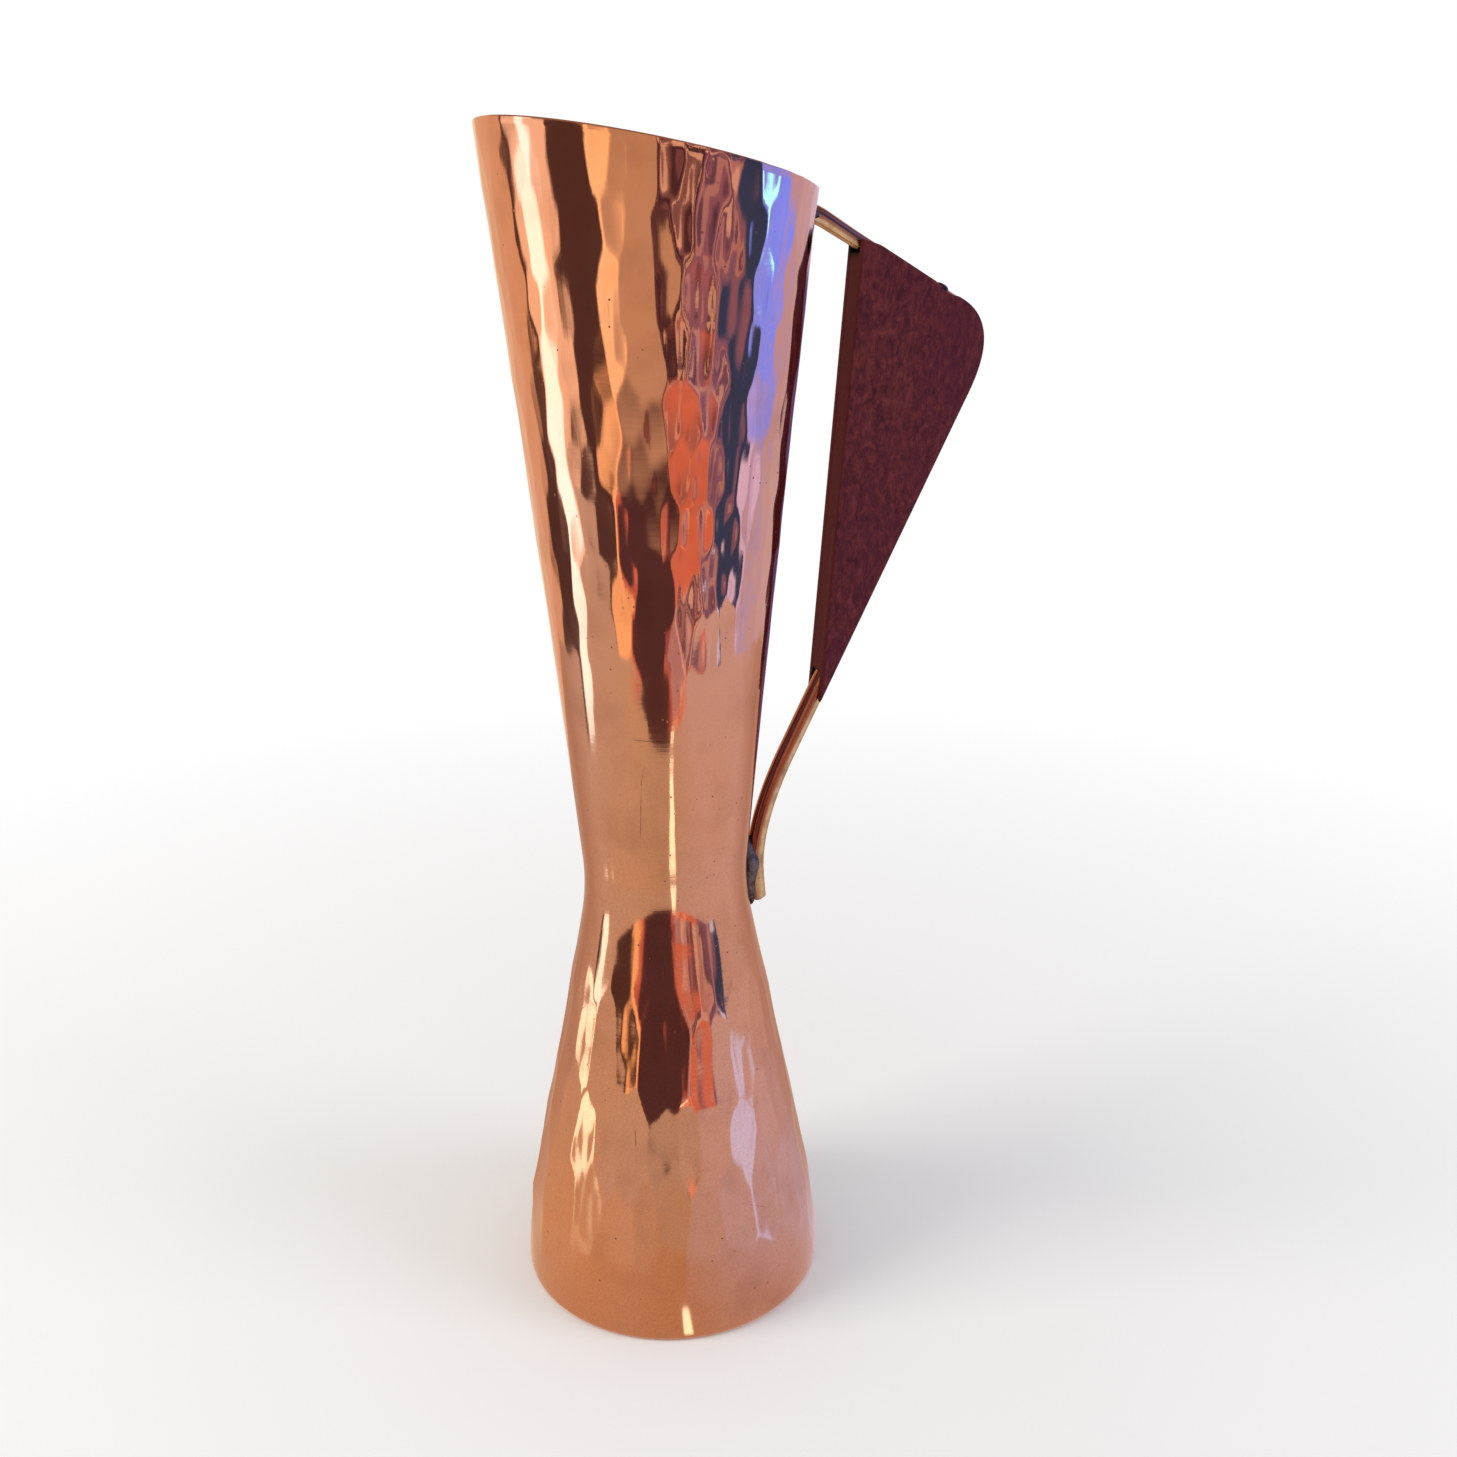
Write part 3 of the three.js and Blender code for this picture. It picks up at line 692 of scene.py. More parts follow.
def run_length(line):
    """Length along a line from its start to each of its points."""
    return np.concatenate([[0], np.cumsum(np.linalg.norm(np.diff(line, axis=0), axis=1))])

def directions(line):
    """The way a line runs at each of its points, with length 1."""
    along = np.gradient(line, axis=0)
    return along / np.linalg.norm(along, axis=1, keepdims=True)

def evenly(line, count):
    """Points at even lengths along a line."""
    length = run_length(line)
    at = np.linspace(0, length[-1], count)
    return stacked(*(np.interp(at, length, part) for part in line.T))

rod_start = (JOINT_RADIUS - ROD_INTO_WALL, JOINT_HEIGHT + ROD_INTO_WALL * math.tan(NECK_SLOPE))
neck_corner = (JOINT_RADIUS + NECK_LENGTH, JOINT_HEIGHT - NECK_LENGTH * math.tan(NECK_SLOPE))
rod_corner = (HANDLE_REACH, neck_corner[1] - math.tan(TOP_SLOPE) * (HANDLE_REACH - neck_corner[0]))
foot_end = (float(radius_at(FOOT_HEIGHT)) + FOOT_FROM_WALL, FOOT_HEIGHT)
foot_corner = (foot_end[0] - math.tan(FOOT_LEAN) * FOOT_RISE, FOOT_HEIGHT + FOOT_RISE)
grip_start = towards(rod_corner, neck_corner, GRIP_TOP_LENGTH)
tip_place = towards(rod_corner, foot_corner, GRIP_OUTER_LENGTH)
corner_bend = (rod_corner, CORNER_BEND_TOP, CORNER_BEND_OUTER)
rod_bends = [(neck_corner, NECK_BEND, NECK_BEND), corner_bend,
             (foot_corner, FOOT_BEND_UPPER, FOOT_BEND_LOWER)]
rod_line = evenly(bent_line(rod_start, rod_bends, foot_end), 220)
print("rod centre line:", np.round(rod_line[[0, -1]] / MM, 1).tolist())

# %% Rod piece
ROD_SIDES = 28

def rod_grid(line):
    """Circles round the centre line. Each stands square to the way the line runs there. The radius goes
    evenly from the root to the grip, the grip's tip and the foot, and the foot's edge is rounded."""
    along, length = directions(line), run_length(line)
    grip_length = length[np.linalg.norm(line - grip_start, axis=1).argmin()]
    tip_length = length[np.linalg.norm(line - tip_place, axis=1).argmin()]
    radius = np.interp(length, [0, grip_length, tip_length, length[-1]],
                       [ROD_ROOT_RADIUS, ROD_TOP_RADIUS, ROD_TIP_RADIUS, ROD_FOOT_RADIUS])
    beyond = np.clip(FOOT_ROUNDING - (length[-1] - length), 0, None)
    radius -= FOOT_ROUNDING - np.sqrt(np.clip(FOOT_ROUNDING ** 2 - beyond ** 2, 0, None))
    turn = turns(ROD_SIDES)
    across = radius[:, None] * np.cos(turn)
    x = line[:, None, 0] - along[:, None, 1] * across
    z = line[:, None, 1] + along[:, None, 0] * across
    return stacked(x, radius[:, None] * np.sin(turn), z)

def capped(points, first_tip, last_tip):
    """The two fans that close the first and the last ring of a grid."""
    rows, columns = points.shape[:2]
    last = list(range((rows - 1) * columns, rows * columns))
    return [(first_tip, list(range(columns))[::-1]), (last_tip, last)]

def handle_point(place):
    """A place in the handle's plane as a place in space."""
    return np.array([place[0], 0, place[1]])

rod_points = rod_grid(rod_line)
brass_rod = mesh_piece("brass_rod", rod_points, grid_faces(*rod_points.shape[:2]), brass,
                       capped(rod_points, handle_point(rod_line[0]), handle_point(rod_line[-1])))

def rod_painted_reflection():
    """1 where the brass gets its red-brown painted reflection and 0 on the bare brass. On the top stretch the
    painted reflection lies on the upper side, and on the long lower stretch on the side towards the vase."""
    side = np.cos(turns(ROD_SIDES))[None, :]
    share = np.linspace(0, 1, len(rod_line))[:, None]
    lower = smooth_step(share, 0.25, 0.45)
    kept = smooth_step(side, -0.25, 0.2) * (1 - lower) + smooth_step(-side, -0.15, 0.15) * lower
    return kept * (0.95 - 0.45 * smooth_step(share, 0.93, 0.97))

# the attribute says where the rod's colour is painted reflection
add_attribute(brass_rod, "painted_reflection", rod_painted_reflection())
finish_piece(brass_rod, "brass_rod", "handle_rod")

# %% [markdown]
# ## The wooden grip
# The grip is a flat triangular board. A groove in its top and outer edges takes the rod, and one end of
# the rear cheek has broken off. We lay outlines through the thickness: at each depth the outline is a
# mix of the board's edge and the groove's floor.

# %% Outlines of the grip
ARRIS = [(4.8, 0.55), (4.72, 0.26), (4.52, 0.07), (4.2, 0.0)]  # half thickness and inset in mm
GROOVE_HALF = 2.9 * MM
TOP_EDGE = 1.65 * MM  # from the rod's centre line out to the board's top edge
OUTER_EDGE = 0.85 * MM
GROOVE_FLOOR = 3.05 * MM
GRIP_COLUMNS = 200
PIN_FROM_CORNER = 20.5 * MM
END_WEAR = 1.5 * MM
END_WEAR_LENGTH = 7 * MM
PIN_HOLLOW = 0.9 * MM
PIN_HOLLOW_HALF = 3.4 * MM
TIP_ROUNDING = 1.6 * MM
BREAK_LENGTH = 9 * MM
BREAK_DEPTH = 0.42  # share of the groove's depth

def moved_sideways(line, distance):
    """A line moved to the left of the way it runs."""
    along = directions(line)
    return line + stacked(-along[:, 1], along[:, 0]) * distance

def grip_line():
    """The rod's centre line beside the grip."""
    return evenly(bent_line(grip_start, [corner_bend], tip_place, 24), 600)

def grip_edge_line():
    """The board's edge before wear. Its distance from the rod falls evenly round the corner."""
    line = grip_line()
    length = np.linspace(0, 1, len(line)) * (GRIP_TOP_LENGTH + GRIP_OUTER_LENGTH)
    distance = TOP_EDGE + (OUTER_EDGE - TOP_EDGE) * smooth_step(length, 38 * MM, 75 * MM)
    return moved_sideways(line, distance[:, None])

grip_edge = grip_edge_line()
inner_top, grip_tip = grip_edge[0], grip_edge[-1]
inner_way = (grip_tip - inner_top) / np.linalg.norm(grip_tip - inner_top)

def board_edge():
    """The top and outer edges. The inner end is worn down, a shallow hollow leaves room for the pin's
    head, and the tip is rounded. The wear falls as (1 - run / length) to the power of 1.2."""
    run = np.linalg.norm(grip_edge - inner_top, axis=1)
    from_pin = (run - (GRIP_TOP_LENGTH - PIN_FROM_CORNER)) / PIN_HOLLOW_HALF
    drop = END_WEAR * np.clip(1 - run / END_WEAR_LENGTH, 0, 1) ** 1.2 + PIN_HOLLOW * np.exp(-from_pin ** 4)
    worn_edge = grip_edge + inner_way * drop[:, None]
    kept = worn_edge[np.linalg.norm(worn_edge - grip_tip, axis=1) > TIP_ROUNDING]
    tip_round = bend(kept[-1], grip_tip, grip_tip - inner_way * TIP_ROUNDING, 8)
    return evenly(np.vstack([kept, tip_round[1:]]), GRIP_COLUMNS)

def groove_floor():
    """The floor line of the groove, cut where it comes out through the board's inner edge."""
    floor = moved_sideways(grip_line(), -GROOVE_FLOOR)
    square = np.array([-inner_way[1], inner_way[0]])
    inside = (floor - inner_top) @ square > 0
    return evenly(floor[inside], GRIP_COLUMNS)

def grip_outline(share, inset):
    """A closed outline: the edge mixed with the groove's floor by a share, moved inwards by an inset, and
    back along the straight inner edge."""
    line = edge_line + (floor_line - edge_line) * np.reshape(share, (-1, 1))
    back = line[-1] + (line[0] - line[-1]) * np.linspace(0, 1, GRIP_COLUMNS + 2)[1:-1, None]
    outline = np.vstack([line, back])
    along = np.roll(outline, -1, axis=0) - np.roll(outline, 1, axis=0)
    along /= np.linalg.norm(along, axis=1, keepdims=True)
    return outline + stacked(along[:, 1], -along[:, 0]) * inset

edge_line, floor_line = board_edge(), groove_floor()
print("grip outline:", np.round((edge_line.max(axis=0) - edge_line.min(axis=0)) / MM, 1), "mm")

# %% Grip piece
def broken_share():
    """How far the rear cheek is broken away along its first stretch, as a share of the groove's depth.
    A sine makes the break's edge ragged."""
    run = np.linalg.norm(edge_line - edge_line[0], axis=1)
    ragged = 0.9 * MM * np.sin(run / MM * 1.7) + BREAK_LENGTH
    return BREAK_DEPTH * (1 - smooth_step(run, ragged - 1.2 * MM, ragged + 0.4 * MM))

def grip_layers():
    """Outlines through the thickness as (y, share of the groove's depth, inset for the rounded arris)."""
    whole, broken = np.zeros(GRIP_COLUMNS), broken_share()
    front = [(-y * MM, whole, inset * MM) for y, inset in ARRIS]
    front += [(-3.15 * MM, whole, 0), (-2.98 * MM, whole + 0.03, 0), (-GROOVE_HALF, whole + 1, 0)]
    rear = [(GROOVE_HALF, whole + 1, 0), (2.98 * MM, np.maximum(broken, 0.03), 0), (3.15 * MM, broken, 0)]
    rear += [(y * MM, broken, inset * MM) for y, inset in ARRIS[::-1]]
    return front + [(y * MM, whole + 1, 0) for y in (-1.5, 0, 1.5)] + rear

def grip_grid():
    """The layers as rings, and inside the first and last ring more rings that close in on the middle line
    between the outer and the inner edge, so that each face of the board is filled."""
    shells = []
    for y, share, inset in grip_layers():
        x, z = grip_outline(share, inset).T
        shells.append(stacked(x, y, z))
    def filled(shell):
        """Five rings from the outline to the middle line: shell + (middle - shell) x t."""
        middle = (shell + shell[::-1]) / 2
        return [shell + (middle - shell) * t for t in (0.1, 0.25, 0.45, 0.7, 1.0)]
    return np.array(filled(shells[0])[::-1] + shells + filled(shells[-1]))

def grip_painted_shade(points):
    """Painted shade: 1 in the groove and on the rear side of its open inner end, and 0 elsewhere, with soft
    borders.
    """
    x, y, z = np.moveaxis(points, -1, 0)
    from_end = np.hypot(x - edge_line[0, 0], z - edge_line[0, 1])
    end = (1 - smooth_step(from_end, 3.4 * MM, 6.0 * MM)) * smooth_step(y, -2.6 * MM, -2.2 * MM)
    groove = np.zeros(points.shape[:2])
    groove[:, :GRIP_COLUMNS] = 1 - smooth_step(np.abs(y[:, :GRIP_COLUMNS]), 2.86 * MM, 3.1 * MM)
    return np.maximum(end, groove)

def grip_handled(points):
    """1 on the board's narrow inner edge and 0 elsewhere: the layers between the two filled faces, in the
    columns of the straight side."""
    handled = np.zeros(points.shape[:2])
    handled[7:-7, GRIP_COLUMNS:] = 1
    return handled

grip_points = grip_grid()
wooden_grip = mesh_piece("wooden_grip", grip_points, grid_faces(*grip_points.shape[:2]), dark_wood,
                         sharp_angle=40)
# the first attribute says where the groove's painted shade lies
add_attribute(wooden_grip, "painted_shade", grip_painted_shade(grip_points))
add_attribute(wooden_grip, "handled", grip_handled(grip_points))
finish_piece(wooden_grip, "dark_wood", "grip")

# %% [markdown]
# ## The pin
# One small round-headed pin goes through the rod into the board. Its head is a low dome, so we draw half
# of its outline and turn that about the pin's own axis, as on a lathe.

# %% Pin piece
def turned_grid(outline, sides):
    """An outline of (radius, height) points turned about the upright axis."""
    radius, height = np.array(outline).T[:, :, None]
    return stacked(radius * np.cos(turns(sides)), radius * np.sin(turns(sides)), height)

def at_pin(points):
    """Points moved from an upright axis to the pin's axis, which is square to the rod's top stretch."""
    x, y, z = np.moveaxis(np.asarray(points, float), -1, 0)
    place = towards(rod_corner, neck_corner, PIN_FROM_CORNER)
    cos, sin = math.cos(TOP_SLOPE), math.sin(TOP_SLOPE)
    return stacked(place[0] + x * cos + z * sin, y, place[1] - x * sin + z * cos)

pin_outline = [(0.05, -10.5), (0.9, -8.5), (0.9, 1.4), (2.1, 1.45), (2.33, 1.6), (2.35, 1.8), (2.25, 2.2),
               (1.9, 2.6), (1.35, 2.87), (0.7, 2.98), (0.2, 3.0)]
pin_local = turned_grid(np.array(pin_outline) * MM, 32)
pin_points = at_pin(pin_local)
round_pin = mesh_piece("round_pin", pin_points, grid_faces(*pin_points.shape[:2]), dark_pin,
                       capped(pin_points, at_pin((0, 0, -10.6 * MM)), at_pin((0, 0, 3.0 * MM))))
finish_piece(round_pin, "pin_metal", "grip_pin")

# %% [markdown]
# ## Solder
# Solder runs into the gap between rod and wall and sets as a soft lump. We start from an egg shape, push
# its skin in and out a little, and press its back flat against the wall.

# %% Solder pieces
def solder_lump(name, centre, half_sizes, slope, seed):
    """An egg-shaped grid: half sizes times (cos, sin) of turn and rise, with five random waves on its skin,
    turned down by a slope. Points behind the wall's face are moved out to half a sheet under it."""
    rng = np.random.default_rng(seed)
    rise = np.linspace(-np.pi / 2, np.pi / 2, 42)[1:-1, None]
    turn = turns(64)
    ball = stacked(np.cos(rise) * np.cos(turn), np.cos(rise) * np.sin(turn), np.sin(rise))
    waves = sum(np.sin(ball @ rng.normal(0, 3.2, 3) + rng.uniform(0, 6)) for _ in range(5))
    def placed(points):
        """Points of the ball at their size, slope and place."""
        x, y, z = np.moveaxis(points * np.array(half_sizes), -1, 0)
        x, z = x * math.cos(slope) + z * math.sin(slope), -x * math.sin(slope) + z * math.cos(slope)
        x, z = x + centre[0], z + centre[1]
        radius = np.hypot(x, y)
        push = np.maximum(1, (radius_at(z) - WALL / 2) / np.maximum(radius, 1e-6))
        return stacked(x * push, y * push, z)
    points = placed(ball * (1 + 0.045 * waves[..., None]))
    tips = [placed(np.array([0, 0, side])) for side in (-1.0, 1.0)]
    return mesh_piece(name, points, grid_faces(*points.shape[:2]), solder, capped(points, *tips))

UPPER_SOLDER_HALF = (6.2 * MM, 3.2 * MM, 2.85 * MM)
LOWER_SOLDER_HALF = (4.9 * MM, 3.6 * MM, 11.5 * MM)
upper_solder = solder_lump("upper_solder_lump", (JOINT_RADIUS, JOINT_HEIGHT), UPPER_SOLDER_HALF,
                           NECK_SLOPE, 3)
finish_piece(upper_solder, "solder", "upper_solder")
lower_height = FOOT_HEIGHT + LOWER_SOLDER_HALF[2]
lower_solder = solder_lump("lower_solder_lump", (float(radius_at(lower_height)) + 2.0 * MM, lower_height),
                           LOWER_SOLDER_HALF, 0, 4)
finish_piece(lower_solder, "solder", "lower_solder")

# %% [markdown]
# ## The bottom
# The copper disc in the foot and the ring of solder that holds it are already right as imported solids, so
# they stay and only get their finish.

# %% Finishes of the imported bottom
for node, finish in (("base_disc", copper_bottom), ("base_solder", solder)):
    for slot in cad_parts[node].material_slots:
        slot.material = finish
    print(node, "gets", finish.name)

# %% [markdown]
# ## The room that the copper shows
# Polished copper is a mirror, so half of its look is the light and dark that stand round it. We could set
# up many lamps and panels, but one ring of glowing walls with a ceiling and a low shelf gives the same
# bands, and only reflections see it. A colour here depends on where a place lies, so the first helpers
# turn a place into a bearing and make masks from it.

# %% Bearings round the vase
def bearing_of(place):
    """Bearing of a place round the vase, from 0 to 1: 0.5 lies towards the camera and more lies further
    to the right. It is the angle whose tangent is side / front, in turns, plus a half. With it come the
    place's distances to the side and to the front, and its height."""
    side, back, height = coordinates(mapped(place, turn=(0, 0, HANDLE_TURN)))
    front = back * -1.0
    return side.math("ARCTAN2", front) * (1 / (2 * math.pi)) + 0.5, side, front, height

def span(value, first, last, blend):
    """1 between two values and 0 outside them, with soft borders."""
    rise = between(value, 0.0, 1.0, first - blend, first + blend)
    return rise * between(value, 1.0, 0.0, last - blend, last + blend)

def sector(bearing, first, last, blend=1.0):
    """1 between two bearings in degrees and 0 outside them, with soft borders."""
    return span(bearing, first / 360 + 0.5, last / 360 + 0.5, blend / 360)

ROOM_LIGHT = 5.0  # the ramps below hold fifths of the light's strength
WARM_DARK = (0.13, 0.075, 0.075)
MAROON = (0.13, 0.07, 0.09)
CREAM = (2.2, 2.9, 3.2)
DULL_CREAM = (1.45, 1.2, 0.95)
TAN = (1.04, 0.72, 0.49)
OLIVE = (0.82, 0.63, 0.48)
RED_ORANGE = (1.28, 0.46, 0.31)
ROSE = (0.72, 0.46, 0.48)
MAUVE = (0.38, 0.27, 0.58)
BLUE_DARK = (0.06, 0.12, 0.36)
BLUE_LIGHT = (0.34, 0.72, 3.9)
PINK = (0.82, 0.72, 0.92)
PURPLE_DARK = (0.15, 0.08, 0.20)

HIGH_BANDS = [  # first and last degree, colour; the gaps between bands are blended
    (-180, -105, TAN), (-104, -99, WARM_DARK), (-98, -94, DULL_CREAM), (-92, -82, CREAM),
    (-78, -67, DULL_CREAM), (-65, -39, WARM_DARK), (-36, -30, (1.8, 1.4, 0.9)), (-26, 4, OLIVE),
    (6, 13, MAROON), (15, 22, ROSE), (25, 28, MAROON), (31, 58, MAUVE), (64, 76, BLUE_DARK),
    (80, 104, BLUE_LIGHT), (108, 134, PINK), (141, 180, PURPLE_DARK),
]
LOW_BANDS = [
    (-180, -120, TAN), (-112, -92, WARM_DARK), (-90, -80, CREAM), (-76, -70, DULL_CREAM),
    (-66, -44, WARM_DARK), (-42, -34, (1.6, 1.1, 0.62)), (-32, -30, (0.9, 0.3, 0.25)), (-28, 5, MAROON),
    (7, 9, (0.6, 0.2, 0.2)), (11, 36, RED_ORANGE), (40, 58, MAUVE), (62, 74, BLUE_DARK),
    (78, 86, (1.1, 1.2, 2.3)), (92, 136, (0.85, 0.78, 0.95)), (143, 180, PURPLE_DARK),
]

def dimmed(colour):
    """A colour as the share of the room's light that the ramps hold."""
    return tuple(part / ROOM_LIGHT for part in colour)

def room_ramp(bearing, bands):
    """The colour of each bearing: two stops with the same colour for each band."""
    return ramp(bearing, [(degree / 360 + 0.5, dimmed(colour))
                          for first, last, colour in bands for degree in (first, last)])

print("bands of the room:", len(HIGH_BANDS), "high and", len(LOW_BANDS), "low")

# %% [markdown]
# The upper cone looks at the upper part of the walls and the lower cone at their foot, so there are two
# rows of bands. Over them lie masks for what stands out: many small dark patches on the right, which we
# make from the random numbers of a cell pattern, a bright spot in the blue band, and the shelf.

# %% Colours of the room
PATCH_SHADES = [(0.2, (0.02, 0.01, 0.02)), (0.45, (0.08, 0.04, 0.06)),
                (0.65, (0.17, 0.11, 0.11)), (0.79, (0.28, 0.23, 0.20))]
SHELF_SHADES = [(0.18, (0.05, 0.03, 0.045)), (0.4, (0.12, 0.075, 0.09)),
                (0.75, (0.16, 0.12, 0.15)), (0.93, (0.22, 0.17, 0.17))]
STREAK_BLUE = (0.13, 0.15, 0.36)
SPOT_WHITE = (0.20, 0.85, 1.3)
FOOT_LILAC = (0.19, 0.26, 0.46)
CEILING_BROWN = (0.075, 0.055, 0.045)

def room_colour(place):
    """The high and the low bands, mixed by height, and on top of them, in this order: small dark patches,
    a thin dark edge on the left, streaks and a bright spot in the blue band, light at its foot, light
    behind the rim's right end, the shelf, and the ceiling."""
    straight, _, front, height = bearing_of(place)
    bearing = straight + (noise(place, 14.0) - 0.5) * 0.03
    low = between(height + sector(bearing, 4, 170) * -0.025, 1.0, 0.0, 0.118, 0.182)
    walls = mixed(low, room_ramp(bearing, HIGH_BANDS), room_ramp(bearing, LOW_BANDS))
    broken = sector(bearing, 8, 58) * between(low, 0.6, 0.25)
    patches = ramp(cells(mapped(place, (1, 1, 0.5)), 30.0)[1], PATCH_SHADES, "CONSTANT")
    thin_edge = sector(bearing, -112, -99) * between(height, 1.0, 0.0, 0.17, 0.21)
    streaks = between(noise(mapped(place, (1, 1, 0.12)), 75.0), 0.0, 0.9, 0.45, 0.6)
    spot = sector(bearing, 84.5, 89.0, 1.5) * span(height, 0.256, 0.310, 0.008)
    foot_light = sector(straight, 55, 62) * between(height, 1.0, 0.0, 0.030, 0.036)
    behind = sector(bearing, 134, 200, 4) * between(height, 0.0, 1.0, 0.292, 0.302)
    shelf = span(front, 0.315, 0.325, 0.001) * sector(straight, 8, 56)
    shelf_shades = ramp(cells(mapped(place, (1, 1, 0.22)), 46.0)[1], SHELF_SHADES)
    return layered(walls, (broken, patches), (thin_edge, dimmed(WARM_DARK)),
                   (streaks * sector(bearing, 82, 112, 3), STREAK_BLUE), (spot, SPOT_WHITE),
                   (foot_light, FOOT_LILAC), (behind, dimmed(PINK)),
                   (shelf * between(height, 1.0, 0.0, 0.088, 0.092), shelf_shades),
                   (between(height, 0.0, 1.0, 0.50, 0.60), CEILING_BROWN))

print("shades of the patches:", len(PATCH_SHADES), "and on the shelf:", len(SHELF_SHADES))

# %% [markdown]
# The walls stand on an outline of sixteen feet. In front they reach the floor. Elsewhere most of them stop
# above it, so that the copper sees the pale floor under them. Stage pieces belong to the picture and not to
# the object.

# %% Cards round the vase
CARD_HEIGHT = 0.62
CARD_FEET = [  # to the side, to the front and the height of the lower edge
    (-0.75, 0.34, 0.0), (-0.40, 0.352, 0.0), (-0.20, 0.358, 0.0), (0.0, 0.36, 0.0), (0.30, 0.345, 0.0),
    (0.40, 0.32, 0.0), (0.40, 0.20, 0.0), (0.40, 0.18, 0.060), (0.40, -0.30, 0.050),
    (-0.40, -0.30, 0.050), (-0.40, -0.04, 0.055), (-0.40, -0.03, 0.0), (-0.40, 0.05, 0.0),
    (-0.40, 0.07, 0.055), (-0.40, 0.10, 0.060), (-0.75, 0.22, 0.060),
]
SHELF_CORNERS = [(0.055, 0.030), (0.31, 0.030), (0.31, 0.086), (0.055, 0.086)]  # to the side, height
SHELF_FRONT = 0.320
HIDDEN_RAYS = ("camera", "diffuse", "transmission", "volume_scatter", "shadow")

def bare_material(name):
    """A material without nodes that isn't sampled as a lamp, and its tree."""
    material = bpy.data.materials.new(name)
    material.use_nodes = True
    material.node_tree.nodes.clear()
    material.cycles.emission_sampling = "NONE"
    return material, material.node_tree

def flat_mesh(name, points, faces, material):
    """A plain mesh for the stage."""
    mesh = bpy.data.meshes.new(name)
    mesh.from_pydata([tuple(point) for point in points], [], faces)
    mesh.materials.append(material)
    return new_object(name, mesh)

def glowing_card(name, points, faces, colour, strength):
    """A card that shows in reflections and nowhere else. Its colour is one colour or depends on place."""
    material, tree = bare_material(name)
    if callable(colour):
        colour = colour(out(tree, "TexCoord", "Object"))
    light = out(tree, "Emission", "Emission", {"Color": colour, "Strength": strength})
    add(tree, "OutputMaterial", {"Surface": light})
    card = flat_mesh(name, points, faces, material)
    for ray in HIDDEN_RAYS:
        setattr(card, "visible_" + ray, False)
    return card

def room_cards():
    """Upright walls between the feet, a ceiling over them, and a low shelf in front."""
    front = np.array([-math.sin(HANDLE_TURN), -math.cos(HANDLE_TURN), 0])
    side = np.array([math.cos(HANDLE_TURN), -math.sin(HANDLE_TURN), 0])
    feet = [side * a + front * b + (0, 0, foot) for a, b, foot in CARD_FEET]
    tops = [side * a + front * b + (0, 0, CARD_HEIGHT) for a, b, _ in CARD_FEET]
    shelf = [side * a + front * SHELF_FRONT + (0, 0, z) for a, z in SHELF_CORNERS]
    count = len(feet)
    faces = [(i, (i + 1) % count, (i + 1) % count + count, i + count) for i in range(count)]
    faces += [tuple(range(count, 2 * count)), tuple(range(2 * count, 2 * count + len(shelf)))]
    return glowing_card("room_cards", feet + tops + shelf, faces, room_colour, ROOM_LIGHT)

cards = room_cards()
print("cards:", [round(side, 2) for side in cards.dimensions])

# %% [markdown]
# ## The floor in the copper
# The lower cone leans back and shows the floor. The floor is plain to the eye, but reflections get a warm
# tint on the left, a cooler one on the right, two long bright strips and a dark one in front. Strips have
# soft borders, because the wall's ripples would otherwise break them into hard pieces.

# %% Colours of the floor
WARM_NEAR = [(0.15, (0.95, 0.70, 0.48)), (0.5, (0.74, 0.53, 0.38)), (0.9, (0.80, 0.78, 1.05))]
PALE_FAR = [(0.2, (0.86, 0.74, 0.64)), (0.5, (0.76, 0.68, 0.60)), (0.8, (0.88, 0.80, 0.92))]
BEHIND_BROWN = (0.62, 0.38, 0.26)
STRIP_CREAM = (2.2, 2.8, 2.7)
STRIP_LILAC = (1.0, 1.35, 2.4)
CLOSE_LIGHT = (2.2, 3.0, 2.9)
CREAM_STRIP = ((-0.080, 0.045), (-0.245, 0.048), 0.007, 0.014)  # two (side, front) ends, two half widths
LILAC_STRIP = ((0.090, 0.058), (0.212, 0.110), 0.017, 0.026)
EDGE_STRIP = ((-0.120, 0.353), (0.048, 0.353), 0.007, 0.007)

def strip_mask(side, front, first, last, first_half, last_half):
    """1 on a straight strip of the floor between two (side, front) places and 0 off it. The way along is
    the offset from the first place times the strip's direction, the way across is what is left of it, and
    the half width grows evenly along the strip."""
    way = np.subtract(last, first)
    length = float(np.hypot(*way))
    sideways, ahead = (float(part) for part in way / length)
    side, front = side - first[0], front - first[1]
    along = side * sideways + front * ahead
    across = side * -ahead + front * sideways
    off = across.math("ABSOLUTE") / between(along, first_half, last_half, 0.0, length)
    return between(off, 1.0, 0.0, 0.85, 1.1) * span(along, 0.0, length, 0.004)

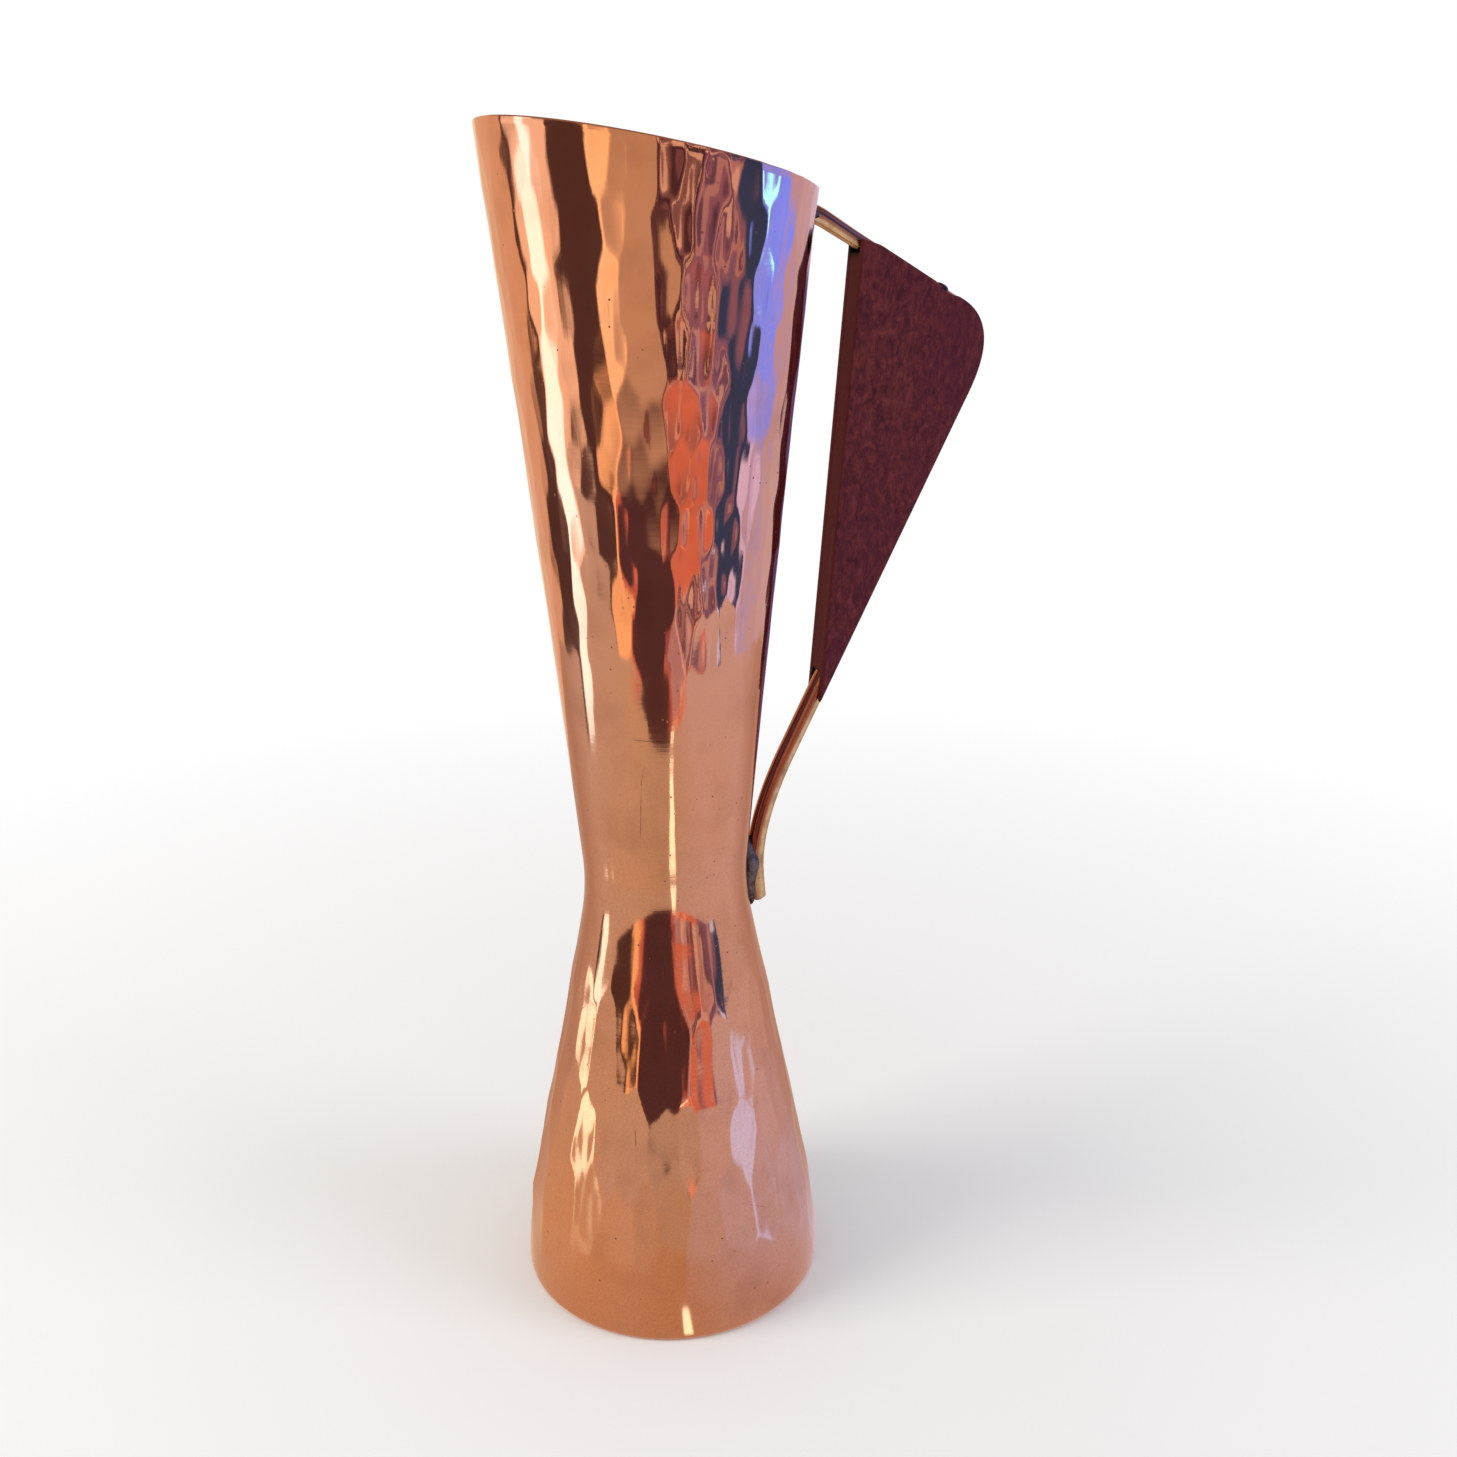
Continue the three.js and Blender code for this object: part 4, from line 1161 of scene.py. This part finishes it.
def floor_colour(place):
    """What the copper sees of the floor: warm on the left, cooler on the right, darker behind the vase,
    with the strips and a small bright place in front. With it comes reach, the distance from the vase's
    axis."""
    bearing, side, front, _ = bearing_of(place)
    reach = out(place.tree, "VectorMath", "Value", {0: place}, operation="LENGTH")
    near = ramp(between(side, 0.0, 1.0, -0.12, 0.12), WARM_NEAR)
    beyond = ramp(between(side, 0.0, 1.0, -0.35, 0.35), PALE_FAR)
    tint = mixed(between(reach, 0.0, 1.0, 0.1, 0.28), near, beyond)
    off_front = (bearing - 0.5).math("ABSOLUTE")
    cream = strip_mask(side, front, *CREAM_STRIP) * between(reach, 0.1, 1.0, 0.13, 0.21)
    broken = between(noise(place, 26.0), 0.15, 1.0, 0.38, 0.46)
    close = span(reach, 0.050, 0.068, 0.001) * sector(bearing, 3.5, 7.0, 0.4)
    tint = layered(tint, (between(off_front, 0.0, 0.85, 0.27, 0.36), BEHIND_BROWN), (cream, STRIP_CREAM),
                   (strip_mask(side, front, *LILAC_STRIP) * broken, STRIP_LILAC),
                   (strip_mask(side, front, *EDGE_STRIP), MAROON), (close, CLOSE_LIGHT))
    return tint, reach

for first, last, *_ in (CREAM_STRIP, LILAC_STRIP, EDGE_STRIP):
    print("a strip of", round(math.dist(first, last), 3), "m on the floor")

# %% [markdown]
# Some bright streaks show on one part of the vase and not on the other. The steep rays from the waist and
# the shallow ones from the lower cone meet the floor in the same places, so paint on the floor can't tell
# them apart. Narrow leaning cards can: each lies along the rays that it must not show in.

# %% Leaning cards
LEANING_CARDS = [  # bearing, height over the axis, fall per metre, half width, pieces and colour
    (9.5, 0.0902, 0.22, 0.009,
     [(0.154, 0.1695), (0.1715, 0.271), (0.279, 0.290), (0.3153, 0.332)], (2.4, 3.0, 2.85)),
    (-90.0, 0.143, 0.55, 0.011, [(0.090, 0.128), (0.132, 0.190), (0.196, 0.258)], STRIP_CREAM),
    (61.5, 0.1346, 0.62, 0.018, [(0.100, 0.140), (0.146, 0.214)], STRIP_LILAC),
]

def outwards(bearing):
    """The level direction from the vase's axis at a bearing in degrees from the camera's side."""
    turn = math.radians(bearing) - math.pi / 2 - HANDLE_TURN
    return np.array([math.cos(turn), math.sin(turn), 0])

def leaning_card(number, bearing, top, fall, half, pieces, colour):
    """Narrow bright strips that slope down away from the vase: height = top - fall x distance."""
    away = outwards(bearing)
    across = np.array([-away[1], away[0], 0]) * half
    points = [away * reach + across * side + (0, 0, top - fall * reach) for near, far in pieces
              for reach, side in ((near, -1), (near, 1), (far, 1), (far, -1))]
    faces = [tuple(range(first, first + 4)) for first in range(0, len(points), 4)]
    glowing_card(f"leaning_card_{number}", points, faces, colour, 1.0)

for number, values in enumerate(LEANING_CARDS, 1):
    leaning_card(number, *values)
print("leaning cards:", len(LEANING_CARDS))

# %% [markdown]
# ## Floor, sky and lamps
# The floor is a matt sheet that takes the vase's shadow. Away from the vase it fades to plain white for the
# eye, so no edge of it is seen, and reflections get the colours above from it. A pale even sky and two
# large soft lamps, one warm and one cool, give the plain light of a studio.

# %% Floor
FLOOR_RADIUS = 6
PAPER_WHITE = (0.93, 0.93, 0.93)

def floor_piece():
    """A round flat floor. Near the vase it is matt; far away, and for reflections, it gives plain light."""
    material, tree = bare_material("floor_paper")
    tint, reach = floor_colour(out(tree, "TexCoord", "Object"))
    paper = out(tree, "BsdfDiffuse", "BSDF", {"Color": PAPER_WHITE})
    white, seen = (out(tree, "Emission", "Emission", {"Color": colour, "Strength": 1.0})
                   for colour in ((1, 1, 1), tint))
    rays = signals(add(tree, "LightPath").outputs)
    fade = between(reach, 0.0, 1.0, 0.15, 0.6) * rays["Is Camera Ray"]
    shown = out(tree, "MixShader", "Shader", {0: fade, 1: paper, 2: white})
    shown = out(tree, "MixShader", "Shader", {0: rays["Is Glossy Ray"], 1: shown, 2: seen})
    add(tree, "OutputMaterial", {"Surface": shown})
    turn = turns(96)
    outline = stacked(FLOOR_RADIUS * np.cos(turn), FLOOR_RADIUS * np.sin(turn), 0.0)
    floor = flat_mesh("floor", outline.tolist(), [tuple(range(len(turn)))], material)
    return floor

floor = floor_piece()
print("floor:", [round(side, 2) for side in floor.dimensions])

# %% World and lamps
WORLD_LIGHT = 0.6
VASE_MIDDLE = Vector((0, 0, 0.17))

def studio_world():
    """An even pale sky: plain light on the object, white for the eye and for reflections."""
    world = bpy.data.worlds.new("studio")
    world.use_nodes = True
    tree = world.node_tree
    tree.nodes.clear()
    rays = signals(add(tree, "LightPath").outputs)
    seen = rays["Is Camera Ray"].math("MAXIMUM", rays["Is Transmission Ray"])
    strength = between(seen.math("MAXIMUM", rays["Is Glossy Ray"]), WORLD_LIGHT, 1.0)
    sky = out(tree, "Background", "Background", {"Color": (1, 1, 1), "Strength": strength})
    add(tree, "OutputWorld", {"Surface": sky})
    bpy.context.scene.world = world

def soft_lamp(name, bearing, distance, height, size, power, colour):
    """A square soft lamp at a bearing from the camera's side, aimed at the vase's middle."""
    data = bpy.data.lights.new(name, "AREA")
    data.size = size
    data.energy = power
    data.color = colour
    lamp = new_object(name, data)
    lamp.location = outwards(bearing) * distance + (0, 0, height)
    lamp.rotation_euler = (VASE_MIDDLE - lamp.location).to_track_quat("-Z", "Y").to_euler()
    lamp.visible_glossy = False
    print(name, "at", [round(v, 2) for v in lamp.location], "with", power, "watts")

studio_world()
soft_lamp("window_left", -75, 1.3, 1.1, 0.8, 12, (1.0, 0.93, 0.84))
soft_lamp("window_right", 70, 1.4, 1.0, 0.8, 7, (0.86, 0.88, 1.0))
bpy.context.scene.view_settings.view_transform = "Standard"
